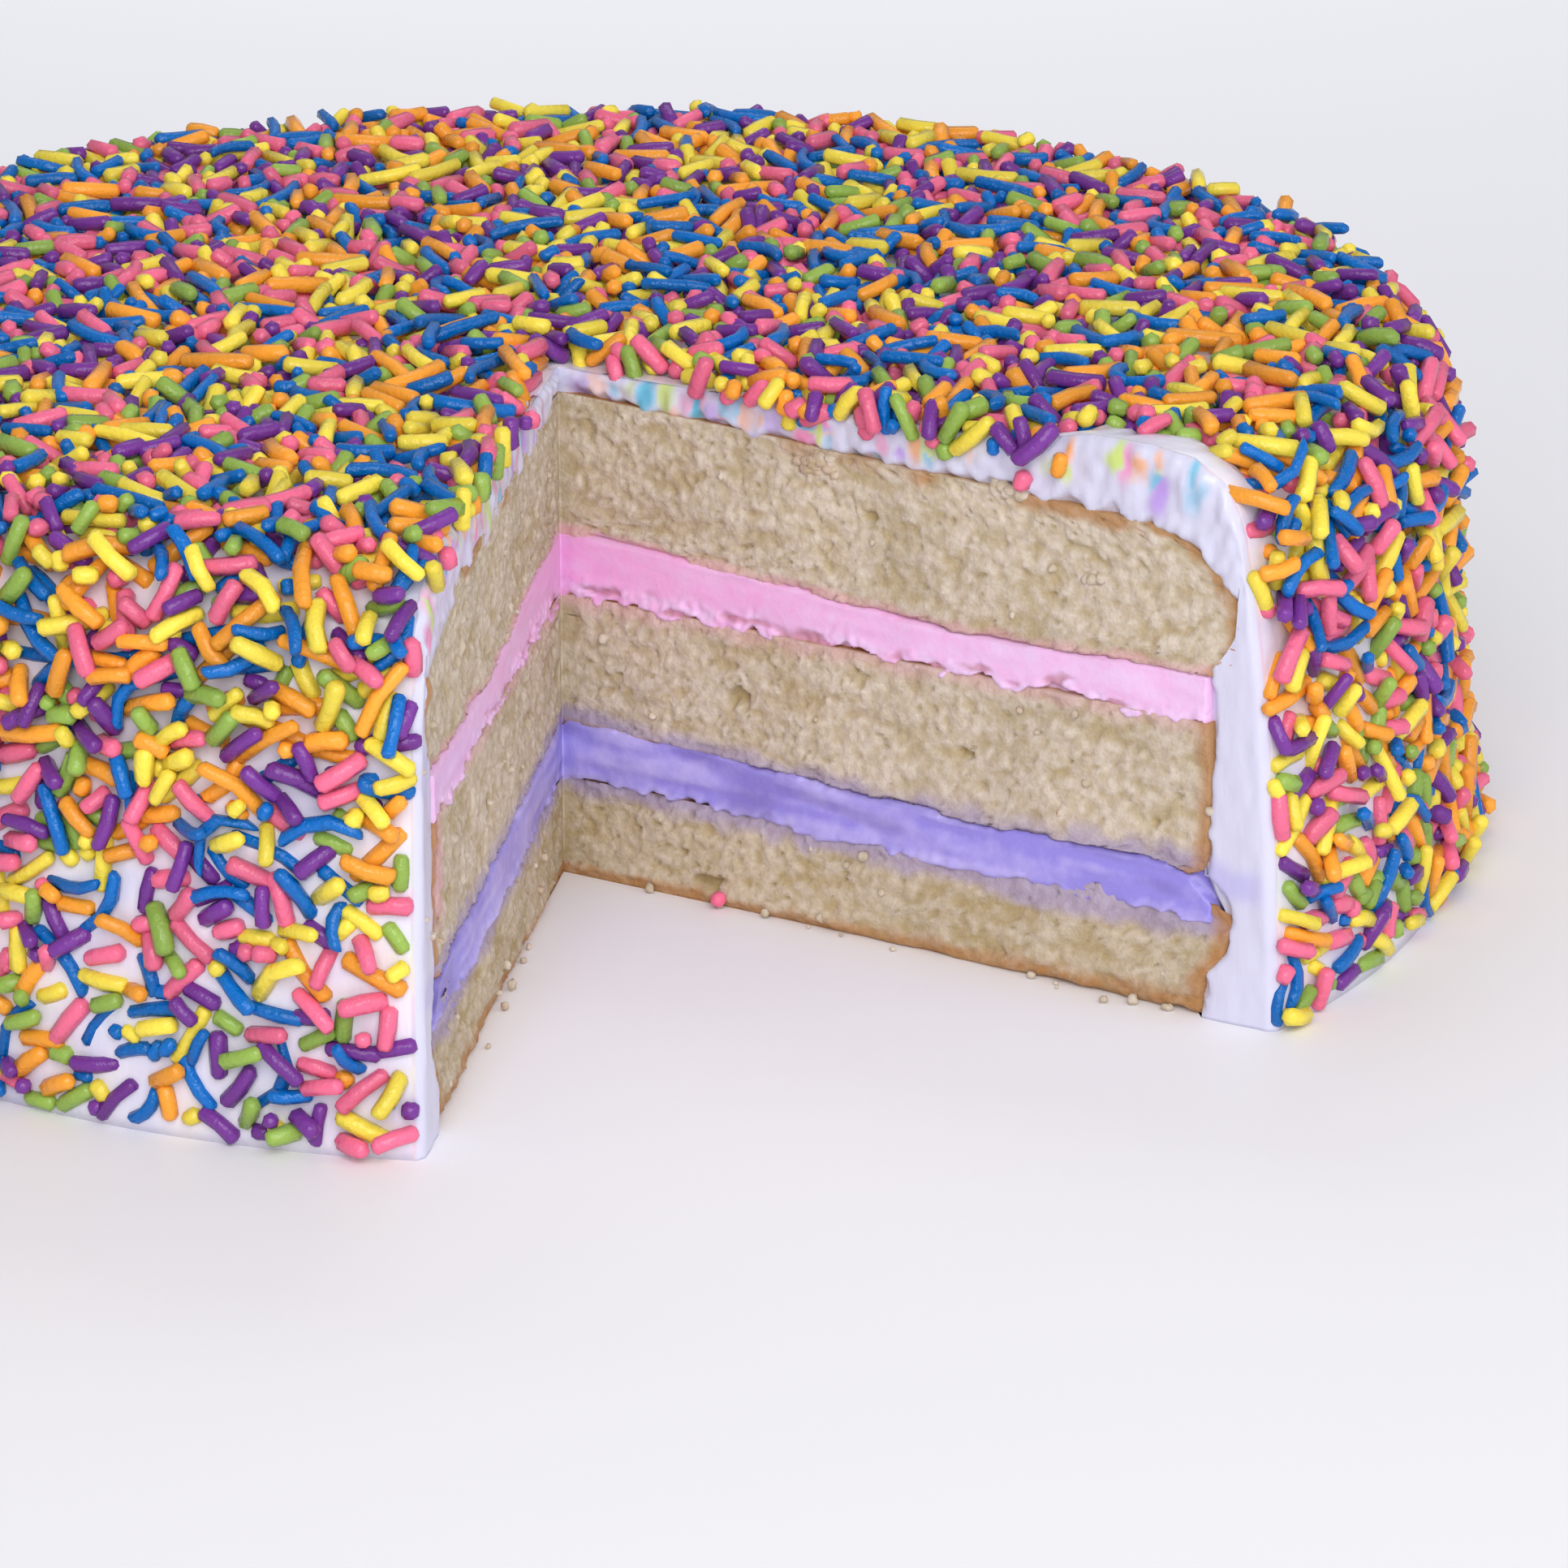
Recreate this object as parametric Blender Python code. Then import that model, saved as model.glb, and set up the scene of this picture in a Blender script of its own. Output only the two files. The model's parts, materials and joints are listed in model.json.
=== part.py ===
"""A round three-layer cake with one slice cut out, frosted and covered in sugar sprinkles.

Each layer of sponge, each filling and the frosting is one closed solid. The sprinkles are
fused to the frosting. Lengths are in metres, +Z is up, and the origin is on the cake's axis
at the level that it stands on.
"""

import math
import random

import bmesh
import bpy
from mathutils import Matrix, Vector

# The slice's two cuts meet a little off the axis and run out to the foot of the frosting.
CUT_APEX = Vector((0.0088, -0.0180))
CUT_END_RADIUS = 0.1180
CUT_LEFT = math.radians(-72.2)
CUT_RIGHT = math.radians(-17.0)
CUTTER_REACH = 0.22
CUTTER_BELOW = 0.02
CUTTER_HEIGHT = 0.12

# Heights of the layers' flat tops, and the gap that keeps neighbouring solids apart.
GAP = 0.0003
BOTTOM_SPONGE_TOP = 0.0130
LAVENDER_TOP = 0.0202
MIDDLE_SPONGE_TOP = 0.0380
PINK_TOP = 0.0439
TOP_SPONGE_CROWN = 0.0650
FROSTING_CROWN = 0.0702

# Outer runs of the half section as (radius, height), from the foot up. The bottom sponge
# has a browned lip that curls round the filling's thin edge, the middle one sags over it,
# and the top one is domed.
BOTTOM_SIDE = [(0.1080, 0.0), (0.1084, 0.0050), (0.1112, 0.0086), (0.1122, 0.0126), (0.1114, 0.0150)]
BOTTOM_LIP = [(0.1104, 0.0148), (0.1098, BOTTOM_SPONGE_TOP)]
LAVENDER_SIDE = [
    (0.1092, BOTTOM_SPONGE_TOP + GAP),
    (0.1082, 0.0162),
    (0.1060, 0.0184),
    (0.0990, LAVENDER_TOP),
]
FILLING_NOTCH = [(0.1088, 0.0153), (0.1080, 0.0178)]
MIDDLE_SAG = [(0.0990, LAVENDER_TOP + GAP), (0.1062, 0.0188)]
MIDDLE_SIDE = [(0.1080, 0.0190), (0.1085, 0.0205), (0.1089, 0.0300), (0.1085, MIDDLE_SPONGE_TOP)]
PINK_SIDE = [(0.1083, MIDDLE_SPONGE_TOP + GAP), (0.1083, PINK_TOP)]
TOP_SIDE = [
    (0.1098, PINK_TOP + GAP),
    (0.1120, 0.0465),
    (0.1130, 0.0520),
    (0.1108, 0.0558),
    (0.1070, 0.0592),
    (0.1000, 0.0618),
    (0.0800, 0.0627),
    (0.0500, 0.0638),
    (0.0200, 0.0647),
]
FROSTING_SIDE = [
    (0.1194, 0.0),
    (0.1190, 0.0090),
    (0.1186, 0.0200),
    (0.1174, 0.0320),
    (0.1163, 0.0440),
    (0.1150, 0.0540),
    (0.1136, 0.0620),
    (0.1108, 0.0670),
    (0.1060, 0.0702),
    (0.0990, 0.0713),
    (0.0800, 0.0711),
    (0.0500, 0.0706),
]

# The plan is a little out of round, in three broad lobes.
LOBES = 3
LOBE_DEPTH = 0.006
LOBE_TURN = math.radians(67.0)
SEGMENTS = 60

# Sugar rods: the longest ones, spread evenly and sunk a little into the frosting.
ROD_COUNT = 190
ROD_RADIUS = 0.00115
ROD_LENGTHS = (0.0075, 0.0120)
ROD_SIDES = 5
ROD_RAISED = 0.00055
ROD_TILT = math.radians(9.0)
ROD_CLEAR_OF_CUT = 0.0028
ROD_LOWEST = 0.0016
ROD_HIGHEST = 0.0725
ROD_WIDEST = 0.1206
ROD_TRIES = 40
ROD_SEED = 11
BED_STEP = 0.001

# Sharper turns than this keep a hard edge.
SHARP_TURN = math.radians(38.0)


def lobed(radius, angle):
    """The radius at an angle of the plan."""
    return radius * (1 + LOBE_DEPTH * math.cos(LOBES * (angle - LOBE_TURN)))


def at(radius, angle, height):
    """The point of the cake at a nominal radius."""
    wide = lobed(radius, angle)
    return Vector((wide * math.cos(angle), wide * math.sin(angle), height))


def make_material(name, colour, roughness):
    made = bpy.data.materials.new(name)
    made.use_nodes = True
    surface = made.node_tree.nodes["Principled BSDF"]
    surface.inputs["Base Color"].default_value = (*colour, 1.0)
    surface.inputs["Roughness"].default_value = roughness
    surface.inputs["Metallic"].default_value = 0.0
    made.diffuse_color = (*colour, 1.0)
    return made


def add_object(name, builder, material):
    """Links a new object with the built mesh, its faces pointing out."""
    bmesh.ops.recalc_face_normals(builder, faces=builder.faces)
    mesh = bpy.data.meshes.new(name)
    builder.to_mesh(mesh)
    builder.free()
    if material:
        mesh.materials.append(material)
    made = bpy.data.objects.new(name, mesh)
    bpy.context.scene.collection.objects.link(made)
    return made


def turned(name, profile, material):
    """A solid turned about the axis, from (radius, height) points that start and end on it."""
    builder = bmesh.new()
    angles = [2 * math.pi * step / SEGMENTS for step in range(SEGMENTS)]
    rings = []
    for radius, height in profile:
        spots = [at(radius, angle, height) for angle in angles] if radius else [(0, 0, height)]
        rings.append([builder.verts.new(spot) for spot in spots])
    for inner, outer in zip(rings, rings[1:]):
        for step in range(SEGMENTS):
            after = (step + 1) % SEGMENTS
            if len(inner) == 1:
                corners = (inner[0], outer[step], outer[after])
            elif len(outer) == 1:
                corners = (inner[step], inner[after], outer[0])
            else:
                corners = (inner[step], inner[after], outer[after], outer[step])
            builder.faces.new(corners)
    return add_object(name, builder, material)


def offset_run(points, distance):
    """The same run of points, moved outward square to itself, with mitred corners."""
    normals = []
    for (r0, z0), (r1, z1) in zip(points, points[1:]):
        length = math.hypot(r1 - r0, z1 - z0)
        normals.append(((z1 - z0) / length, (r0 - r1) / length))
    moved = []
    for (radius, height), before, after in zip(points, normals[:1] + normals, normals + normals[-1:]):
        mitre = distance / (1 + before[0] * after[0] + before[1] * after[1])
        moved.append((radius + mitre * (before[0] + after[0]), height + mitre * (before[1] + after[1])))
    return moved


def hollow_side():
    """The frosting's inside, from the foot up: the stacked layers' outside, a gap away."""
    column = BOTTOM_SIDE + FILLING_NOTCH + MIDDLE_SIDE + TOP_SIDE
    moved = offset_run(column, GAP * 1.2)
    return [(moved[0][0], 0.0)] + moved[1:]


def cut_directions():
    """Unit directions of the left and right cuts, seen from above."""
    found = []
    for angle in (CUT_LEFT, CUT_RIGHT):
        end = Vector((math.cos(angle), math.sin(angle))) * CUT_END_RADIUS
        found.append((end - CUT_APEX).normalized())
    return found


def slice_cutter():
    """A prism over the missing slice, taller than the cake."""
    left, right = cut_directions()
    middle = (left + right).normalized()
    plan = [CUT_APEX] + [CUT_APEX + way * CUTTER_REACH for way in (left, middle, right)]
    builder = bmesh.new()
    floor = builder.faces.new([builder.verts.new((*spot, -CUTTER_BELOW)) for spot in plan])
    pulled = bmesh.ops.extrude_face_region(builder, geom=[floor])
    top = [item for item in pulled["geom"] if isinstance(item, bmesh.types.BMVert)]
    bmesh.ops.translate(builder, verts=top, vec=(0, 0, CUTTER_HEIGHT))
    made = add_object("slice_cutter", builder, None)
    made.hide_render = True
    made.display_type = "WIRE"
    return made


def apply_modifiers(made):
    """Puts the object's evaluated mesh in place of its own."""
    bpy.context.view_layer.update()
    graph = bpy.context.evaluated_depsgraph_get()
    solid = bpy.data.meshes.new_from_object(made.evaluated_get(graph))
    old = made.data
    made.modifiers.clear()
    made.data = solid
    bpy.data.meshes.remove(old)


def cut_slice(made, cutter):
    boolean = made.modifiers.new("missing slice", "BOOLEAN")
    boolean.operation = "DIFFERENCE"
    boolean.object = cutter
    apply_modifiers(made)


def shells_of(builder):
    """The mesh's separate shells, as sets of vertices."""
    left = set(builder.verts)
    shells = []
    while left:
        front = [left.pop()]
        shell = set(front)
        while front:
            for edge in front.pop().link_edges:
                found = left.intersection(edge.verts)
                left -= found
                shell |= found
                front.extend(found)
        shells.append(shell)
    return shells


def keep_body(made):
    """Leaves the largest shell, so that sealed hollows are filled and loose scraps go."""
    builder = bmesh.new()
    builder.from_mesh(made.data)
    body = max(shells_of(builder), key=len)
    spare = [vert for vert in builder.verts if vert not in body]
    bmesh.ops.delete(builder, geom=spare, context="VERTS")
    bmesh.ops.triangulate(builder, faces=builder.faces)
    builder.to_mesh(made.data)
    builder.free()


def add_rod(name, length, centre, along, outward):
    """One sugar rod with its axis along the surface, as a guide for the union."""
    builder = bmesh.new()
    bmesh.ops.create_cone(
        builder,
        cap_ends=True,
        segments=ROD_SIDES,
        radius1=ROD_RADIUS,
        radius2=ROD_RADIUS,
        depth=length,
        matrix=Matrix.Rotation(math.pi, 4, "Z"),
    )
    made = add_object(name, builder, None)
    across = along.cross(outward).normalized()
    up = across.cross(along).normalized()
    made.matrix_world = Matrix.Translation(centre) @ Matrix((up, across, along)).transposed().to_4x4()
    made.hide_render = True
    made.display_type = "WIRE"
    return made


def bed_steps(run):
    """Short steps along the frosting's outside: place, outward direction and share of its area."""
    steps = []
    for (r0, z0), (r1, z1) in zip(run, run[1:]):
        length = math.hypot(r1 - r0, z1 - z0)
        count = max(1, round(length / BED_STEP))
        out = ((z1 - z0) / length, (r0 - r1) / length)
        for number in range(count):
            share = (number + 0.5) / count
            radius = r0 + (r1 - r0) * share
            steps.append((radius, z0 + (z1 - z0) * share, out, radius * length / count))
    return steps


def clear_of_slice(point):
    """Distance in plan from the missing slice to a point, negative inside it."""
    left, right = cut_directions()
    way = point.xy - CUT_APEX
    return max(way.cross(left), right.cross(way))


def fits(ends, centre):
    """True where a rod stays on the cake, clear of the slice and within its height and width."""
    if min(clear_of_slice(spot) for spot in (*ends, centre)) < ROD_CLEAR_OF_CUT:
        return False
    heights = [end.z for end in ends]
    widest = max(end.xy.length for end in ends)
    return ROD_LOWEST < min(heights) and max(heights) < ROD_HIGHEST and widest < ROD_WIDEST


def lay_rods():
    """Rods over the frosting's top and side, longest first, each in the emptiest spot tried."""
    draw = random.Random(ROD_SEED)
    steps = bed_steps(FROSTING_SIDE + [(0, FROSTING_CROWN)])
    weights = [step[3] for step in steps]
    lengths = sorted((draw.uniform(*ROD_LENGTHS) for _ in range(ROD_COUNT)), reverse=True)
    centres = []
    rods = []
    for length in lengths:
        best = None
        for _ in range(ROD_TRIES):
            radius, height, out, _share = draw.choices(steps, weights)[0]
            angle = draw.uniform(-math.pi, math.pi)
            centre = at(radius, angle, height)
            outward = Vector((out[0] * math.cos(angle), out[0] * math.sin(angle), out[1]))
            round_way = Vector((-math.sin(angle), math.cos(angle), 0))
            lifted = round_way + outward * math.tan(draw.uniform(-ROD_TILT, ROD_TILT))
            along = (Matrix.Rotation(draw.uniform(0, math.pi), 3, outward) @ lifted).normalized()
            ends = [centre + along * (length / 2), centre - along * (length / 2)]
            if not fits(ends, centre):
                continue
            room = min(((centre - other).length for other in centres), default=1.0)
            if best is None or room > best[0]:
                best = (room, centre, along, outward)
        if best:
            _room, centre, along, outward = best
            centres.append(centre)
            rods.append(add_rod(f"rod_{len(rods)}", length, centre + outward * ROD_RAISED, along, outward))
    return rods


def fuse(made, pieces):
    """Joins the pieces to the object with one union, then removes them."""
    group = bpy.data.collections.new("sprinkles")
    bpy.context.scene.collection.children.link(group)
    for piece in pieces:
        bpy.context.scene.collection.objects.unlink(piece)
        group.objects.link(piece)
    union = made.modifiers.new("sprinkles", "BOOLEAN")
    union.operation = "UNION"
    union.operand_type = "COLLECTION"
    union.collection = group
    apply_modifiers(made)
    for piece in pieces:
        bpy.data.objects.remove(piece)
    bpy.data.collections.remove(group)


def main():
    for old in list(bpy.data.objects):
        bpy.data.objects.remove(old)
    crumb = make_material("vanilla_sponge", (0.86, 0.70, 0.40), 0.85)
    pink = make_material("pink_filling", (0.86, 0.43, 0.68), 0.45)
    lavender = make_material("lavender_filling", (0.38, 0.33, 0.75), 0.45)
    icing = make_material("white_frosting", (0.87, 0.86, 0.86), 0.40)

    bottom = [(0, 0), *BOTTOM_SIDE, *BOTTOM_LIP, (0, BOTTOM_SPONGE_TOP)]
    violet = [(0, BOTTOM_SPONGE_TOP + GAP), *LAVENDER_SIDE, (0, LAVENDER_TOP)]
    middle = [(0, LAVENDER_TOP + GAP), *MIDDLE_SAG, *MIDDLE_SIDE, (0, MIDDLE_SPONGE_TOP)]
    rose = [(0, MIDDLE_SPONGE_TOP + GAP), *PINK_SIDE, (0, PINK_TOP)]
    top = [(0, PINK_TOP + GAP), *TOP_SIDE, (0, TOP_SPONGE_CROWN)]
    hollow = [(0, TOP_SPONGE_CROWN + GAP), *reversed(hollow_side())]
    shell = [*hollow, *FROSTING_SIDE, (0, FROSTING_CROWN)]
    frosting = turned("frosting", shell, icing)
    layers = [
        turned("bottom_sponge", bottom, crumb),
        turned("lavender_filling", violet, lavender),
        turned("middle_sponge", middle, crumb),
        turned("pink_filling", rose, pink),
        turned("top_sponge", top, crumb),
        frosting,
    ]

    cutter = slice_cutter()
    for layer in layers:
        cut_slice(layer, cutter)
    bpy.data.objects.remove(cutter)
    fuse(frosting, lay_rods())
    for layer in layers:
        keep_body(layer)
        layer.data.shade_smooth()
        layer.data.set_sharp_from_angle(angle=SHARP_TURN)


main()
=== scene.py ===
"""The looks of a round three-layer cake with one slice cut out, under coloured sugar sprinkles.

Laid out as a Blender add-on and run as a script: each piece has its own operator, and its
sizes and colours are properties of the scene. Shapes are worked out in millimetres, from the
cut's apex outward, and turned to metres once when a mesh is made.
"""

import json
import math

import bmesh
import bpy
import numpy as np
from bpy.props import FloatProperty, FloatVectorProperty, IntProperty, PointerProperty
from bpy.types import Operator, Panel, PropertyGroup
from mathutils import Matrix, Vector

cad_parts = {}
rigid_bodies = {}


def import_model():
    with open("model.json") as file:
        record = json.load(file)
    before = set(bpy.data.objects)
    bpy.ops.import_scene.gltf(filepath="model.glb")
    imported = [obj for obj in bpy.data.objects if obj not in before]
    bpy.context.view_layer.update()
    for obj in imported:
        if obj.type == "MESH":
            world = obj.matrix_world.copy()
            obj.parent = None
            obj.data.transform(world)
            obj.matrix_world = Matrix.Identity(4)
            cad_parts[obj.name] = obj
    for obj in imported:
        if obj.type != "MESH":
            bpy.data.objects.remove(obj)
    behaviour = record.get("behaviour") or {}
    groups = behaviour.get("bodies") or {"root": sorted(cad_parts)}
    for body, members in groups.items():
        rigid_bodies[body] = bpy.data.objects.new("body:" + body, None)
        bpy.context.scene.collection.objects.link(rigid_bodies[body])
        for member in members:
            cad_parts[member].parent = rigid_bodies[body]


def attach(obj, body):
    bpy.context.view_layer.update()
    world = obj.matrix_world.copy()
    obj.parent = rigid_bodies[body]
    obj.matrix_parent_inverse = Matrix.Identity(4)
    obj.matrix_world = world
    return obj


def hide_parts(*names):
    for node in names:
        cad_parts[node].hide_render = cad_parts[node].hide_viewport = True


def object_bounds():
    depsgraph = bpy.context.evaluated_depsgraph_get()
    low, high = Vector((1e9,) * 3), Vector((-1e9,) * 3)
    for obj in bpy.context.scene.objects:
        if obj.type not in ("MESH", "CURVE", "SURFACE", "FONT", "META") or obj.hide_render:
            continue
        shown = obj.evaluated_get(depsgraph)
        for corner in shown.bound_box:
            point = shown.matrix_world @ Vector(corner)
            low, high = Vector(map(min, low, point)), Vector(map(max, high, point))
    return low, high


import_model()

bl_info = {
    "name": "Sprinkle cake",
    "version": (1, 0, 0),
    "blender": (4, 5, 0),
    "location": "View3D > Sidebar > Cake",
    "description": "Builds the pieces, finishes and studio of a cut three-layer sprinkle cake",
    "category": "Add Mesh",
}

MM = 0.001
CAD_BOX = [[round(side, 6) for side in corner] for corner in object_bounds()]

# The slice's two cuts meet a little off the cake's axis.
APEX = np.array([8.8, -18.0])
CUT_END_RADIUS = 118.0
CUT_LEFT = math.radians(-72.2)
CUT_RIGHT = math.radians(-17.0)

# The plan is a little out of round, in three broad lobes.
LOBES = 3
LOBE_DEPTH = 0.006
LOBE_TURN = math.radians(67.0)

# Heights of the layers and outer runs of the half section as (radius, height).
BOTTOM_TOP = 13.0
LAVENDER_TOP = 20.2
MIDDLE_TOP = 38.0
PINK_TOP = 43.9
BOTTOM_SIDE = [(108.0, 0.0), (108.4, 5.0), (111.2, 8.6), (112.2, 12.6), (110.4, 15.0), (109.6, 13.4)]
MIDDLE_SIDE = [(106.2, 18.6), (108.0, 19.2), (108.5, 20.5), (108.9, 30.0), (108.5, 38.0)]
TOP_SIDE = [(109.8, 44.0), (112.0, 46.5), (113.0, 52.0), (110.8, 55.8), (107.0, 59.2), (100.0, 61.8)]
TOP_CROWN = [(0.0, 65.0), (20.0, 64.7), (50.0, 63.8), (80.0, 62.7), (100.0, 61.8)]

# The frosting's bed under the sprinkles: lower than the solid's on top, where they lie deep.
SKIN_CROWN = [(0.0, 68.2), (50.0, 68.6), (80.0, 69.1), (99.0, 69.2)]
SKIN_SHOULDER = [(99.0, 69.2), (105.2, 68.3), (109.6, 65.7), (112.4, 61.4)]
SKIN_SIDE = [
    (112.4, 61.4),
    (114.1, 54.0),
    (115.5, 44.0),
    (116.6, 32.0),
    (117.8, 20.0),
    (118.2, 9.0),
    (118.6, 0.0),
]
HOLLOW_CROWN = [(0.0, 64.6), (50.0, 63.4), (80.0, 62.3), (99.5, 61.3)]
HOLLOW_SHOULDER = [(99.5, 61.3), (106.6, 58.6), (110.3, 55.2), (112.3, 52.0)]
HOLLOW_SIDE = [
    (112.3, 52.0),
    (111.3, 46.8),
    (107.8, 44.0),
    (107.8, 38.0),
    (108.1, 30.0),
    (107.6, 18.0),
    (110.0, 15.4),
    (111.4, 12.0),
    (107.6, 5.2),
    (107.2, 0.0),
]

# Camera: the photograph's viewing angle, with the frame's own size.
FRAME_PIXELS = 1932
FOCAL_PIXELS = 8021.963
SENSOR = 36.0
VIEW_AZIMUTH = math.radians(26.0)
VIEW_ELEVATION = math.radians(17.31)
VIEW_DISTANCE = 0.8576
VIEW_TARGET_HEIGHT = 0.036
VIEW_PAN = math.radians(2.063)
VIEW_PITCH = math.radians(-19.272)

# Numbers of the sockets on Blender's Mix node when it mixes colours.
MIX_FACTOR = 0
MIX_A = 6
MIX_B = 7
MIX_RESULT = 2

COLOUR_NAMES = ("pink", "yellow", "orange", "blue", "purple", "green")


def linear(code):
    """A colour's linear values from its sRGB hex code."""
    parts = [int(code[start : start + 2], 16) / 255 for start in (1, 3, 5)]
    return tuple(part / 12.92 if part <= 0.04045 else ((part + 0.055) / 1.055) ** 2.4 for part in parts)


def colour_property(name, description, code):
    return FloatVectorProperty(
        name=name, description=description, subtype="COLOR", size=3, min=0.0, max=1.0, default=linear(code)
    )


def size_property(name, description, millimetres):
    return FloatProperty(name=name, description=description, default=millimetres, min=0.01, max=500.0)


def count_property(name, description, count):
    return IntProperty(name=name, description=description, default=count, min=0)


class CakeSizes(PropertyGroup):
    """Sizes of the cake's textures and toppings, in millimetres, and how many there are."""

    crumb_grain: size_property("Crumb grain", "Width of one grain of the sponge's crumb, mm", 1.15)
    crumb_pore: size_property("Pore spacing", "Distance between the sponge's pores, mm", 1.7)
    face_step: size_property("Cut face step", "Spacing of the points on the cut faces, mm", 0.42)
    skin_step: size_property("Frosting step", "Spacing of the points on the frosting's outside, mm", 2.0)
    top_rods: count_property("Top sprinkles", "Rods tried on the top", 6700)
    side_rods: count_property("Side sprinkles", "Rods tried on the side", 6100)
    foot_rods: count_property("Foot sprinkles", "Rods tried at the foot", 420)
    crumbs: count_property("Crumbs", "Loose crumbs on the cuts and before them", 70)


class CakeColours(PropertyGroup):
    """Colours of the cake, its toppings and the floor."""

    crumb: colour_property("Crumb", "The sponge's crumb", "#BFAF97")
    crumb_light: colour_property("Light crumb", "The crumb's raised grains", "#D6C9BA")
    # The pores' colour is painted shade, mixed into pores, holes, cracks and the gaps between clumps.
    crumb_pore: colour_property("Pores", "The bottoms of the crumb's pores", "#A8925F")
    crust: colour_property("Crust", "The sponge's browned outside", "#AE7A45")
    pink_filling: colour_property("Pink filling", "The upper filling", "#EFACDF")
    lavender_filling: colour_property("Lavender filling", "The lower filling", "#9489DE")
    frosting: colour_property("Frosting", "The white frosting", "#E9E5F0")
    pink: colour_property("Pink rods", "Pink sprinkles", "#E96B8E")
    yellow: colour_property("Yellow rods", "Yellow sprinkles", "#F0DA4C")
    orange: colour_property("Orange rods", "Orange sprinkles", "#F5A134")
    blue: colour_property("Blue rods", "Blue sprinkles", "#0067BA")
    purple: colour_property("Purple rods", "Purple sprinkles", "#723390")
    green: colour_property("Green rods", "Green sprinkles", "#8FAF4E")
    floor: colour_property("Floor", "The studio's floor", "#F8F8FC")


# ---- noise and runs


TABLE_SIZE = 8192
RANDOM_TABLE = np.random.default_rng(41).random((3, TABLE_SIZE))
CELL_PRIMES = (73856093, 19349663, 83492791)


def cell_values(cells, seed, row):
    """One fixed random value from 0 to 1 for each whole-numbered cell."""
    mixed = np.full(cells.shape[:-1], seed * 7919 + 17, dtype=np.int64)
    for axis in range(cells.shape[-1]):
        mixed ^= cells[..., axis] * CELL_PRIMES[axis]
    return RANDOM_TABLE[row, (mixed ^ (mixed >> 13)) & (TABLE_SIZE - 1)]


def corners_of(dimensions, low, high):
    """Every whole-numbered step from low up to high in that many dimensions."""
    spans = [np.arange(low, high)] * dimensions
    return np.stack(np.meshgrid(*spans, indexing="ij"), -1).reshape(-1, dimensions)


def noise(spots, size, seed=0):
    """Smooth noise from -1 to 1 whose bumps are about that size."""
    scaled = spots / size
    base = np.floor(scaled).astype(np.int64)
    part = scaled - base
    part = part * part * (3 - 2 * part)
    total = np.zeros(spots.shape[:-1])
    for corner in corners_of(spots.shape[-1], 0, 2):
        weight = np.prod(np.where(corner == 1, part, 1 - part), axis=-1)
        total += weight * cell_values(base + corner, seed, 0)
    return total * 2 - 1


def grains(spots, size, seed=0):
    """Distance to the nearest grain's centre as a share of the size, and its number from 0 to 1."""
    scaled = spots / size
    base = np.floor(scaled).astype(np.int64)
    axes = range(spots.shape[-1])
    nearest = np.full(spots.shape[:-1], np.inf)
    number = np.zeros(spots.shape[:-1])
    for corner in corners_of(len(axes), -1, 2):
        cells = base + corner
        centre = cells + np.stack([cell_values(cells, seed + axis, 1) for axis in axes], -1)
        distance = np.linalg.norm(scaled - centre, axis=-1)
        closer = distance < nearest
        nearest = np.where(closer, distance, nearest)
        number = np.where(closer, cell_values(cells, seed, 2), number)
    return nearest, number


def ramp(start, end, values):
    """Smoothly 0 to 1 as the values go from start to end."""
    share = np.clip((values - start) / (end - start), 0, 1)
    return share * share * (3 - 2 * share)


def resampled(run, count):
    """A run of points cut into even steps."""
    points = np.array(run, float)
    lengths = np.concatenate([[0], np.cumsum(np.linalg.norm(np.diff(points, axis=0), axis=1))])
    wanted = np.linspace(0, lengths[-1], count)
    return np.stack([np.interp(wanted, lengths, points[:, axis]) for axis in (0, 1)], -1)


# ---- the plan


def lobe(angles):
    """How much wider than its nominal radius the plan is, along angles about the axis."""
    return 1 + LOBE_DEPTH * np.cos(LOBES * (angles - LOBE_TURN))


def ray_length(angles, radii):
    """Distance from the apex to the lobed outline of a nominal radius, along each angle."""
    angles, radii = np.broadcast_arrays(np.asarray(angles, float), np.asarray(radii, float))
    ways = np.stack([np.cos(angles), np.sin(angles)], -1)
    toward = ways @ APEX
    inner = 60.0
    ring = np.maximum(radii, inner)
    reach = ring
    for _ in range(4):
        lengths = -toward + np.sqrt(toward**2 - APEX @ APEX + reach**2)
        spots = APEX + ways * lengths[..., None]
        reach = ring * lobe(np.arctan2(spots[..., 1], spots[..., 0]))
    return lengths * np.minimum(radii / inner, 1)


def place(angles, radii, heights):
    """Points of the cake in millimetres, at angles about the apex."""
    lengths = ray_length(angles, radii)
    angles, heights = np.broadcast_arrays(angles, heights, lengths)[:2]
    plan = APEX + np.stack([np.cos(angles), np.sin(angles)], -1) * lengths[..., None]
    return np.concatenate([plan, heights[..., None]], -1)


class Cut:
    """One of the slice's two cut planes: its way along the floor, the way it faces and its seed."""

    def __init__(self, end_angle, turn, seed):
        end = CUT_END_RADIUS * np.array([math.cos(end_angle), math.sin(end_angle)])
        way = (end - APEX) / np.linalg.norm(end - APEX)
        self.angle = math.atan2(way[1], way[0]) % (2 * math.pi)
        self.way = np.array([way[0], way[1], 0.0])
        self.facing = np.array([way[1], -way[0], 0.0]) * turn
        self.seed = seed

    def spot(self, along, height, out):
        """The point at a distance from the apex, over the floor and out from the plane."""
        return np.array([*APEX, height]) + self.way * along + self.facing * out

    def beyond(self, spots):
        """Distance of points in front of the plane, in the missing slice."""
        return (spots[..., :2] - APEX) @ self.facing[:2]


RIGHT = Cut(CUT_RIGHT, 1, 100)
LEFT = Cut(CUT_LEFT, -1, 200)
START = RIGHT.angle - 2 * math.pi
END = LEFT.angle


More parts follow.
